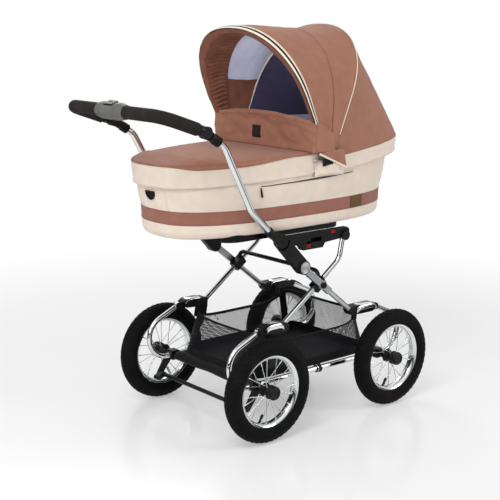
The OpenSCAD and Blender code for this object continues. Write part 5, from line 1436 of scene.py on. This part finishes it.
def lining(name, cloth, leans, columns, gather, seed, fine=1, pleats=0.0):
    """A sheet inside the front canopy, gathered into small folds that run with the elastic."""
    rows = []
    first, end = columns[0] * fine, columns[1] * fine + 1
    where = np.arange(first, end) * ARCH_STEP / fine
    for degrees in leans:
        inset = float(np.interp(degrees, LINING_LEANS, LINING_INSETS))
        power = float(np.interp(degrees, LINING_LEANS, LINING_POWERS))
        row = front_arch(degrees, inset, LAST * fine + 1, power)[first:end]
        toward = towards(row, HOOD_CENTRE)
        field = field_of(where, degrees * 2.0)
        crumple = waves(field, 0.6, 16.0, seed) + waves(field, 1.0, 48.0, seed + 1, (1, 2.0, 1))
        lift = gather * (crumple + 0.5)
        wander = waves(field, PLEAT_WANDER, 30.0, seed + 2, (0.2, 1.0, 1.0))
        gathered = pleats * np.abs(np.sin(math.pi * (where + wander) / PLEAT_MM))
        gathered = np.maximum(gathered * (0.7 + waves(field, 1.0, 55.0, seed + 3)), 0.0)
        begun = smooth((degrees - FACING_BEGUN) / 3)
        sewn_edge = float(smooth(abs(degrees - FACING_END) / SEWN_FADE_DEG))
        ahead = LEG_ROOM * (1 - np.hypot(row[:, 0] - HOOD_PIVOT[0], row[:, 2] - HOOD_PIVOT[2]) / FRONT_TOP)
        row[:, 0] -= ahead * (1 - smooth((degrees - FACING_TURN) / 4))
        rows.append(row + toward * ((np.maximum(lift, 0.0) + gathered * begun) * sewn_edge)[:, None])
    made = rows_piece(name, rows, cloth, inside=(0, 0, 5000))
    fan(made)
    return made


facing_leans = np.concatenate([
    [FACING_EDGE, -26.0, -25.85, FACING_TURN], np.linspace(FRONT_EDGE, FACING_END, 26)])
roof_leans = np.linspace(FACING_END, ROOF_END, 30)
# The facing is drawn in the darker copy of the brown cloth, as painted shade.
facing = lining("hood_facing", shaded_brown_cloth, facing_leans, (0, LAST), 6.0, 12, FACING_FINE, PLEAT_DEEP)
roof = lining("hood_roof_lining", blue_lining, roof_leans, (ROOF_FROM, ROOF_TO), 4.5, 14)
# The far side also takes the darker copy as painted shade; the near side keeps the lit brown cloth.
side_far = lining("hood_side_lining_far", shaded_brown_cloth, roof_leans, (ROOF_TO, LAST), 5.0, 16)
side_near = lining("hood_side_lining_near", brown_cloth, roof_leans, (0, ROOF_FROM), 5.0, 18)

# %% [markdown]
# The head end is lined with navy cotton that hangs slack, and a light blue strip lies over it along the rim.

# %% Lining of the rear canopy
HEAD_CENTRE = (120.0, 0.0, 920.0)
HEAD_IN = 6.0
HEAD_SLACK = (5.0, 60.0, 20, (1, 0.5, 1))
RIM_TOP = 890.0
RIM_MARGIN = 16
RIM_LIFT = 1.5
head_rows = []
for k, row in enumerate(rear_rows(HEAD_IN, 30)):
    field = field_of(np.arange(ARCH_COUNT) * 7.0, k * 12.0)
    slack = np.maximum(0, waves(field, *HEAD_SLACK) + 2.0)
    head_rows.append(row + towards(row, HEAD_CENTRE) * slack[:, None])
head_lining = rows_piece("hood_head_lining", head_rows, navy_lining, inside=(120, 0, 5000))
columns = np.array(head_rows)[:, RIM_MARGIN:-RIM_MARGIN]
rim_rows = []
for t in np.linspace(0, 1, 7):
    row = []
    for column in columns.transpose(1, 0, 2):
        level = np.interp(t, [0, 1], [min(RIM_TOP, column[0, 2]), column[-1, 2]])
        spot = np.array([np.interp(-level, -column[:, 2], column[:, k]) for k in (0, 1)] + [level])
        inward = np.array([HEAD_CENTRE[0], 0.0, level]) - spot
        row.append(spot + RIM_LIFT * inward / np.linalg.norm(inward))
    rim_rows.append(row)
rim_lining = rows_piece("hood_rim_lining", rim_rows, blue_lining, inside=(120, 0, 5000))
print("rim rows", len(rim_rows))

# %% [markdown]
# Pale piping covers the seam at the rear hoop, and a line of dark stitches holds the elastic in the facing.

# %% Inner piping and elastic
HOOP_TOP, HOOP_FOOT = 440.0, 60.0
HOOP_HALF = 213.2
HOOP_FLAT = 2.0
HOOP_BEND = HOOP_HALF - HOOP_FLAT
HOOP_PIPING_R = 3.5
bend_turn = np.linspace(math.pi, 0, 61)
bend_middle = np.where(bend_turn > math.pi / 2, -HOOP_FLAT, HOOP_FLAT)
hoop_line = np.stack([bend_middle + HOOP_BEND * np.cos(bend_turn),
                      HOOP_TOP - HOOP_BEND + HOOP_BEND * np.sin(bend_turn)], axis=1)
hoop_line = np.concatenate([[(-HOOP_HALF, HOOP_FOOT)], hoop_line, [(HOOP_HALF, HOOP_FOOT)]])
inner_piping = tube_piece(
    "hood_inner_piping", leaned(hoop_line, REAR_LEAN), HOOP_PIPING_R, cream_piping, sides=10)
for made in (head_lining, rim_lining, inner_piping):
    put(made, "bassinet")

ELASTIC_FROM = -24.5
ELASTIC_IN = 5.0
gather_line = []
for degrees in np.linspace(ELASTIC_FROM, FACING_END, 20):
    inset = float(np.interp(degrees, LINING_LEANS, LINING_INSETS)) + ELASTIC_IN
    gather_line.append(front_arch(degrees, inset)[ROOF_TO - 1])
elastic = stitched("hood_elastic_line", gather_line, black_piping, pitch=5.0, stitch=3.2, thread_r=0.7)
fan(elastic)
print("elastic line points", len(gather_line))

# %% [markdown]
# The basket hangs between the wheels from the four spring units. Its floor is coated nylon, its walls are a
# fine knotted net, and a bound hem draws the rim tight. Everything follows one wall: a foot ring, a rim ring,
# and a share of the way from the one to the other.

# %% Basket shape
BASKET_POWER = 2 / 9
FOOT_L, FOOT_W, FOOT_Z = 238.5, 180.0, 183.0
RIM_L, RIM_W = 194.0, 182.0
SIDE_LOW = 264.0
REAR_LOW, REAR_CORNER = 276.0, 295.0
FRONT_LOW, FRONT_CORNER = 301.0, 304.0
WALL_BELLY = 4.0
WALL_WAVE = (0.8, 110.0, 30)
NET_COLUMNS = 276
NET_ROWS = 20
WALL_POINTS = 2 * NET_COLUMNS


def plan(half_l, half_w, count):
    """Evenly spaced points of the basket's rounded rectangle, from the front end round by the far side."""
    t = np.linspace(0, 2 * math.pi, 2 * DENSE + 1)
    line = np.stack([half_l * signed_power(np.cos(t), BASKET_POWER),
                     half_w * signed_power(np.sin(t), BASKET_POWER)], axis=1)
    return points_at(line, np.arange(count) * lengths(line)[-1] / count)


def rim_height(x, y):
    """Height of the rim: low along the sides, a little higher at the rear, taut and high at the front."""
    corner = np.where(x < 0, REAR_CORNER, FRONT_CORNER)
    middle = np.where(x < 0, REAR_LOW, FRONT_LOW)
    side = SIDE_LOW + (corner - SIDE_LOW) * np.abs(x / RIM_L) ** 6
    end = middle + (corner - middle) * np.abs(y / RIM_W) ** 3
    round_corner = smooth((np.abs(x) / RIM_L - 0.9) / 0.1)
    return side * (1 - round_corner) + end * round_corner


def raised(flat, z):
    """Level points at a height, or each at its own."""
    return np.concatenate([flat, np.broadcast_to(z, len(flat))[:, None]], axis=1)


wall_foot = plan(FOOT_L, FOOT_W, WALL_POINTS)
wall_rim = plan(RIM_L, RIM_W, WALL_POINTS)
wall_top = rim_height(wall_rim[:, 0], wall_rim[:, 1])


def wall_at(share, out=0.0):
    """The whole ring of the wall at a share of its height; out moves it outwards."""
    ring = raised(wall_foot + (wall_rim - wall_foot) * share, FOOT_Z + (wall_top - FOOT_Z) * share)
    slack = WALL_BELLY * math.sin(math.pi * share) * (0.6 + waves(ring, *WALL_WAVE))
    return pushed(ring, outline_normals(ring, 0.0), out + slack)


def hung_on(made):
    """Bakes the cloth's transform into its mesh."""
    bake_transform(made)
    points = np.array([v.co for v in made.data.vertices]) / MM
    points[:, 1] = np.abs(points[:, 1])


print("basket wall points", WALL_POINTS)

# %% [markdown]
# The floor is cut in one piece with a low turned-up wall. It sags a little under its own weight.
# A sleeve of the same cloth wraps the axle at its rear edge.

# %% Basket floor
FLOOR_Z = 158.0
FLOOR_L, FLOOR_W = 241.0, 174.5
FLOOR_SAG = 7.0
FLOOR_WAVE = (2.0, 90.0, 31)
FLOOR_CREASE = (0.8, 30.0, 32, (1, 1, 0.3))
FLOOR_SHARES = (0.02, 0.2, 0.4, 0.55, 0.7, 0.82, 0.92, 1.0)
# Half length, half width and height of each ring of the turned-up wall.
TURN_UP = ((245.0, 178.0, 159.5), (247.4, 180.4, 163.5), (246.6, 180.6, 168.0), (243.0, 180.2, 175.0),
           (239.6, 179.8, 182.5), (238.4, 179.2, 186.0))
TRAY_WALL = 1.4
tray_rows = []
for s in FLOOR_SHARES:
    ring = raised(plan(FLOOR_L * s, FLOOR_W * s, NET_COLUMNS), FLOOR_Z - FLOOR_SAG * (1 - s * s))
    ring[:, 2] += waves(ring, *FLOOR_WAVE) * (1 - s ** 4)
    tray_rows.append(ring)
for half_l, half_w, z in TURN_UP:
    ring = raised(plan(half_l, half_w, NET_COLUMNS), z)
    crease = waves(ring, *FLOOR_CREASE) * smooth((z - 160) / 8)
    tray_rows.append(pushed(ring, outline_normals(ring, 0.0), np.minimum(crease, 0.4)))
tray = rows_piece("basket_floor_cloth", tray_rows, basket_cloth, ring=True, inside=(0, 0, 400))
thicken(tray, TRAY_WALL)
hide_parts("basket_tray")

AXLE_SLEEVE = ((-236.0, 166.0), (-252.0, 169.0), (-267.0, 164.0), (-272.0, 155.0), (-267.0, 144.0),
               (-254.0, 139.0), (-240.0, 143.0), (-231.0, 152.0))
SLEEVE_HALF = 175.0
SLEEVE_WAVE = 1.2
sleeve_rows = []
for y in np.linspace(-SLEEVE_HALF, SLEEVE_HALF, 41):
    out, up = SLEEVE_WAVE * math.sin(y / 31), SLEEVE_WAVE * math.cos(y / 23)
    sleeve_rows.append([(x + out, y, z + up) for x, z in AXLE_SLEEVE])
sleeve = rows_piece("basket_axle_sleeve", sleeve_rows, basket_cloth, ring=True, end_caps=True)
for made in (tray, sleeve):
    put(made, "rear_runner")
print("floor rings", len(tray_rows))

# %% [markdown]
# A net is a lattice of strands, so it starts as a mesh of bare edges: each row of knots is shifted by half a
# mesh. A Geometry Nodes tree turns the edges into curves and gives them a thin round section.

# %% Net walls
STRAND_R = 0.72
net_tree, given = begin_tree("strands_of_a_net", Strand="Float", Finish="Material")
lines = add(net_tree, "GeometryNodeMeshToCurve", {"Mesh": given["Geometry"]})
section = add(net_tree, "GeometryNodeCurvePrimitiveCircle", {"Resolution": 3, "Radius": given["Strand"]})
strands = add(net_tree, "GeometryNodeCurveToMesh", {
    "Curve": lines.outputs[0], "Profile Curve": section.outputs[0]})
end_tree(net_tree, strands.outputs[0], given["Finish"])

knots = np.concatenate([wall_at(r / NET_ROWS)[r % 2::2] for r in range(NET_ROWS + 1)])
net_edges = []
for r in range(NET_ROWS):
    for c in range(NET_COLUMNS):
        beside = (c + (1 if r % 2 else -1)) % NET_COLUMNS
        net_edges.append((r * NET_COLUMNS + c, (r + 1) * NET_COLUMNS + c))
        net_edges.append((r * NET_COLUMNS + c, (r + 1) * NET_COLUMNS + beside))
lattice = wire("net_lattice", knots, net_edges)
net = grown("basket_net_walls", net_tree, base=lattice, Strand=STRAND_R * MM, Finish=net_nylon)
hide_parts("basket_net")
hung_on(net)
print("net strands", len(net_edges))

# %% [markdown]
# Bias tape binds the rim and the foot of the net. Black cloth panels take the load at the corners,
# wide ones behind and narrow ones in front.

# %% Bindings and corner panels
CORNERS = (("rear_l", -1, 1), ("rear_r", -1, -1), ("front_l", 1, 1), ("front_r", 1, -1))
# Columns of a panel on the end wall and on the side wall.
REAR_PANEL, FRONT_PANEL = (22, 5), (4, 4)
basket_parts = [
    tube_piece("basket_rim_binding", wall_at(1.0), 4.6, basket_cloth, sides=8, closed=True, flat=0.45),
    tube_piece("basket_foot_binding", wall_at(0.0, 0.4), 2.4, basket_cloth, sides=8, closed=True, flat=0.6)]
for name, x_sign, y_sign in CORNERS:
    column = int(np.argmax(wall_rim[:, 0] * x_sign / RIM_L + wall_rim[:, 1] * y_sign / RIM_W))
    end_side, long_side = REAR_PANEL if x_sign < 0 else FRONT_PANEL
    before, after = (long_side, end_side) if x_sign * y_sign < 0 else (end_side, long_side)
    span = np.arange(column - before, column + after + 1) % WALL_POINTS
    rows = [wall_at(t, 1.0)[span] for t in np.linspace(0.0, 1.0, 9)]
    panel = thicken(rows_piece("basket_corner_" + name, rows, basket_cloth, inside=(0, 0, 230)), 1.0)
    basket_parts.append(panel)
print("corner panels", len(CORNERS))

# %% [markdown]
# Webbing straps hang the corners on the spring units, and short tucks gather the net under the rim.

# %% Straps and tucks
STRAP_TOP = 326.0
STRAP_LAP = 6.0
STRAP_WALL = 1.4
# Place along the basket, width, and distance of the strap's upper end from the middle.
REAR_STRAP, FRONT_STRAP = (-163.0, 50.0, 175.6), (168.0, 24.0, 183.6)
for name, x_sign, side in CORNERS:
    x, width, wall_y = REAR_STRAP if x_sign < 0 else FRONT_STRAP
    start_z = float(rim_height(np.array(x), np.array(RIM_W))) - STRAP_LAP
    line = [(RIM_W - 0.6, start_z), (RIM_W - 1.2, start_z + 8.0), (wall_y, 300.0), (wall_y, 312.0),
            (wall_y, STRAP_TOP)]
    rows = [[(x + dx, side * y, z) for dx in np.linspace(-width / 2, width / 2, 7)] for y, z in line]
    strap = rows_piece("basket_strap_" + name, rows, basket_cloth, inside=(x, 0, 300))
    thicken(strap, STRAP_WALL, offset=0.0)
    basket_parts.append(strap)

TUCKS = (-150.0, -128.0, -104.0, 120.0, 146.0)
TUCK_DROPS = (0.3, 0.42)
TUCK_LEAN = 9
TUCK_R = 0.9
for side, label in SIDES:
    for k, x in enumerate(TUCKS):
        other_wall = wall_rim[:, 1] * side < 0.9 * RIM_W
        column = int(np.argmin(np.abs(wall_rim[:, 0] - x) + 1000 * other_wall))
        lean = TUCK_LEAN if x * side > 0 else -TUCK_LEAN
        drop = TUCK_DROPS[k % 2]
        path = [wall_at(1 - drop * t, 0.6)[(column + int(lean * t)) % WALL_POINTS]
                for t in np.linspace(0, 1, 7)]
        basket_parts.append(tube_piece("basket_tuck_%d_%s" % (k, label), path, TUCK_R, basket_cloth, sides=6))
for made in basket_parts:
    if "foot" in made.name or "front" in made.name:
        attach(made, "rear_runner")
    else:
        hung_on(made)
print("basket trim", len(basket_parts))

# %% [markdown]
# The mattress is a quilted pad. Its cover is sewn down along crossing lines and stuffed between them, so it
# is first a flat cushion, and a cloth simulation blows it up while the sewn lines stay where they are.

# %% Mattress
MATTRESS_L, MATTRESS_W = 396.0, 185.0
MATTRESS_Z = 614.5
MATTRESS_THICK = 40.0
# Each ring of the pad is an inset and a rise: across the underside, round the edge, and in over the top.
PAD_UNDER = [(inset, 0.0) for inset in (180.0, 120.0, 60.0, 20.0, 6.0)]
PAD_EDGE = [(2.0, 5.0), (0.0, 14.0), (0.0, 24.0), (2.0, 32.0), (6.0, 37.0), (12.0, 39.5)]
PAD_TOP = [(18.0 + 7.0 * k, MATTRESS_THICK) for k in range(24)]
QUILT_PITCH = 66.0
QUILT_LINE = 5.0
PUFF_FRAMES = 20
PUFF_PRESSURE = 4.0
PUFF_CAP = 7.0


def puffed(made, sewn, pressure, cap):
    """Blows a closed cushion up with a cloth simulation; sewn points stay, and none moves more than cap."""
    group = made.vertex_groups.new(name="sewn_down")
    group.add([int(i) for i in np.nonzero(sewn)[0]], 1.0, "REPLACE")
    before = np.array([v.co for v in made.data.vertices])
    sim = made.modifiers.new("puff", "CLOTH")
    sim.settings.vertex_group_mass = "sewn_down"
    sim.settings.use_pressure = True
    sim.settings.uniform_pressure_force = pressure
    sim.settings.effector_weights.gravity = 0.0
    sim.point_cache.frame_start = 1
    sim.point_cache.frame_end = PUFF_FRAMES
    for number in range(1, PUFF_FRAMES + 1):
        bpy.context.scene.frame_set(number)
    shaped = made.evaluated_get(bpy.context.evaluated_depsgraph_get())
    move = np.array([v.co for v in shaped.data.vertices]) - before
    made.modifiers.remove(sim)
    far = np.maximum(np.linalg.norm(move, axis=1), 1e-9)[:, None]
    after = before + move / far * np.minimum(far, cap * MM)
    made.data.vertices.foreach_set("co", after.astype(np.float32).ravel())
    made.vertex_groups.clear()
    bpy.context.scene.frame_set(1)


pad_turns = even_turns(0, 2 * math.pi, 221, BODY_MID, MATTRESS_L, MATTRESS_W)[:-1]
pad_rows = [raised(outline(BODY_MID, MATTRESS_L - inset, MATTRESS_W - inset, pad_turns), MATTRESS_Z + rise)
            for inset, rise in PAD_UNDER + PAD_EDGE + PAD_TOP]
mattress = rows_piece("mattress_cover", pad_rows, mattress_cloth, ring=True, end_caps=True)
spots = np.array([v.co for v in mattress.data.vertices]) / MM
crossing = (spots[:, :2] + QUILT_PITCH * 20) % QUILT_PITCH
sewn = (np.abs(crossing - QUILT_PITCH / 2) < QUILT_LINE).any(axis=1) | (spots[:, 2] < MATTRESS_Z + 6)
puffed(mattress, sewn, PUFF_PRESSURE, PUFF_CAP)
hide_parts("mattress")
put(mattress, "bassinet")
print("mattress points", len(spots))

# %% [markdown]
# A zip runs along each side of the body, so the cover comes off for washing. Its coil is a thin dark line
# that gapes a little in the middle, with a metal pull at the foot end. A press-stud holds each corner of
# the apron's skirt.

# %% Zips and press-studs
ZIP_FROM, ZIP_TO = -236.0, 111.0
ZIP_HEIGHT = 748.0
ZIP_COUNT = 81
ZIP_R, ZIP_GAPE = 1.2, 2.4
LIP_UP, LIP_WIRE_R = 4.0, 2.0
PULL_LENGTH = 29.0
PULL_RADII = [1.6, 2.0, 2.8, 3.2, 3.4, 3.4, 2.6]
STUD_PLACE = (-47.0, 218.6, 799.0)
STUD_SECTION = [(0.0, 5.6), (1.4, 5.4), (2.4, 4.0), (2.8, 2.0), (2.9, 0.01)]
gape = ZIP_R + ZIP_GAPE * np.sin(np.linspace(0, math.pi, ZIP_COUNT) ** 1.4 / math.pi ** 0.4) ** 2
trim = []
for side, label in SIDES:
    span = side_turns(ZIP_FROM, ZIP_TO, ZIP_COUNT, side)
    line = cot_ring(ZIP_HEIGHT, span, 0.3)
    trim.append((tube_piece("zip_" + label, line, gape, zip_coil, sides=8), "grey_plastic"))
    lip = cot_ring(ZIP_HEIGHT + LIP_UP, span, 1.2)
    trim.append((tube_piece("zip_lip_" + label, lip, LIP_WIRE_R, cream_cloth, sides=8), "cream_fabric"))
    top = line[0] + np.array([-4.0, side * 2.2, -2.0])
    pull = [top + np.array([0.15 * d, side * 0.02 * d, -d]) for d in np.linspace(0, PULL_LENGTH, 7)]
    trim.append((tube_piece("zip_pull_" + label, pull, PULL_RADII, hoop_steel, sides=10), "light_metal"))
    x, y, z = STUD_PLACE
    dome = lathe_piece("press_stud_" + label, [(side * out, r) for out, r in STUD_SECTION], satin_aluminium,
                       (x, side * y, z), steps=28)
    trim.append((dome, "light_metal"))
print("zips and studs", len(trim))

# %% [markdown]
# A half-round black cup closes the opening of the half-moon grip at the foot end.

# %% Cup of the foot grip
GRIP_Z = 723.0
GRIP_TILT = 11.0
GRIP_R = 16.4
CUP_MARGIN = 4.0
CUP_LIFT = 1.6
FOOT_HALF_W = 207.0
cup_rows = []
for drop in np.linspace(0, 0.98, 9):
    half = GRIP_R * math.sqrt(1 - drop * drop)
    across = np.linspace(-half, half, 9)
    beside = np.concatenate([[across[0] - CUP_MARGIN], across, [across[-1] + CUP_MARGIN]])
    turns = math.pi - np.sign(beside) * np.arcsin((np.abs(beside) / FOOT_HALF_W) ** (1 / OUTLINE_POWER))
    cup_rows.append(cot_ring(GRIP_Z + GRIP_TILT - GRIP_R * drop, turns, CUP_LIFT)[1:-1])
grip_cup = thicken(rows_piece("foot_grip_cup", cup_rows, black_nylon, inside=(BODY_MID, 0, GRIP_Z)), 1.0)
trim.append((grip_cup, "black_plastic"))
print("cup rows", len(cup_rows))

# %% [markdown]
# The hood's lower corners end in points of brown cloth with a cream binding, which hang over the side of the
# body. Under each point a cream pocket, sewn to the body, hides the pivot of the hoops. A small black sheet
# in the gap between the skirt's end and the point is painted shadow.

# %% Hood corners
CORNER_Y = 235.4
CORNER_BELLY = 1.4
CORNER = np.array([(-48.0, 823.0), (52.0, 831.0), (63.0, 776.0)])
BINDING_R = 3.0
POCKET_MID = (14.0, 776.0)
POCKET_HALF = (60.0, 25.0)
POCKET_RISE = 19.5
WALL_Y = 214.0
# Corners of a black sheet that paints the shadow in the gap beside each point, and how far in it lies.
SHADOW_SHEET = (((-35.0, 804.0), (-34.0, 783.0)), ((-12.0, 803.0), (-12.0, 786.0)), ((9.0, 796.0), (9.0, 788.0)))
SHADOW_SHEET_IN = 1.2
first, second, tip = CORNER
for side, label in SIDES:
    rows = []
    for t in np.linspace(0, 1, 13):
        left = first + (tip - first) * t
        right = second + (tip - second) * t
        row = []
        for s in np.linspace(0, 1, 11):
            x, z = left + (right - left) * s
            row.append((x, side * (CORNER_Y + CORNER_BELLY * math.sin(3 * t) * math.sin(math.pi * s)), z))
        rows.append(row)
    rows[-1] = [(p[0] + 0.05 * k, p[1], p[2]) for k, p in enumerate(rows[-1])]
    point = thicken(rows_piece("hood_corner_" + label, rows, brown_cloth, inside=(20, 0, 800)), 1.6)
    edge = [(x, side * (CORNER_Y + 0.6), z - 1.5)
            for x, z in (first + (tip - first) * t for t in np.linspace(0, 1, 15))]
    binding = tube_piece("hood_corner_binding_" + label, edge, BINDING_R, cream_piping, sides=8)
    pocket_rows = []
    for v in np.linspace(-1, 1, 19):
        row = []
        for u in np.linspace(-1, 1, 23):
            rise = float(smooth(1.4 * (1 - abs(u))) * smooth(2.6 * (1 - abs(v))))
            row.append((POCKET_MID[0] + POCKET_HALF[0] * u, side * (WALL_Y + POCKET_RISE * rise),
                        POCKET_MID[1] + POCKET_HALF[1] * v))
        pocket_rows.append(row)
    pocket = rows_piece("hood_pivot_pocket_" + label, pocket_rows, cream_cloth, inside=(14, 0, 776))
    # Painted shadow: a black sheet where the gap between the skirt and the point lies in shade.
    shadow_rows = [[(x, side * (CORNER_Y - SHADOW_SHEET_IN), z) for x, z in pair] for pair in SHADOW_SHEET]
    shadow_sheet = rows_piece("hood_corner_gap_" + label, shadow_rows, basket_cloth, inside=(0, 0, 790))
    trim += [(point, "brown_fabric"), (binding, "cream_fabric"),
             (pocket, "cream_fabric"), (shadow_sheet, "brown_fabric")]
for made, slot in trim:
    put(made, "bassinet")
print("side trim", len(trim))

# %% [markdown]
# A woven patch is sewn over the stripe near the head end. It is left plain.

# %% Patch on the stripe
STRIPE_PATCH_FROM, STRIPE_PATCH_TO = 120.0, 180.0
STRIPE_PATCH_IN = 1.5
STRIPE_PATCH_LIFT = 2.3
span = side_turns(STRIPE_PATCH_FROM, STRIPE_PATCH_TO, 15, -1)
rows = [cot_ring(h, span, STRIPE_PATCH_LIFT)
        for h in np.linspace(STRIPE_LOW + STRIPE_PATCH_IN, STRIPE_HIGH - STRIPE_PATCH_IN, 9)]
stripe_patch = thicken(rows_piece("stripe_patch", rows, patch_brown, inside=(BODY_MID, 0, 660)), 0.8)
put(stripe_patch, "bassinet")
print("patch rows", len(rows))

# %% [markdown]
# A thin black plate closes the window of each adapter rail from behind, and black collars cover the places
# where the front half of each runner slides into the rear half.

# %% Rail plates and runner collars
RAIL_BACK_Y = 174.6
WINDOW_FROM, WINDOW_TO = (-42.0, 548.5), (10.0, 569.5)
COLLAR_Y, COLLAR_Z = 196.0, 155.0
# Places along the runner, and the collar's radius at each.
COLLAR_PLACES = (-8.5, -8.0, -6.5, 0.0, 6.5, 8.0, 8.5)
COLLAR_RADII = [11.8, 12.8, 13.3, 13.3, 13.3, 12.8, 11.8]
for side, label in SIDES:
    rows = [[(x, side * RAIL_BACK_Y, z) for x in np.linspace(WINDOW_FROM[0], WINDOW_TO[0], 5)]
            for z in np.linspace(WINDOW_FROM[1], WINDOW_TO[1], 3)]
    plate = thicken(rows_piece("rail_window_back_" + label, rows, black_nylon, inside=(0, 0, 560)), 1.2)
    put(plate, "frame_a")
for side, label in SIDES:
    line = [(x, side * COLLAR_Y, COLLAR_Z) for x in COLLAR_PLACES]
    collar = tube_piece("runner_collar_" + label, line, COLLAR_RADII, black_nylon, sides=32)
    put(collar, "rear_runner")
print("plates and collars", 4)
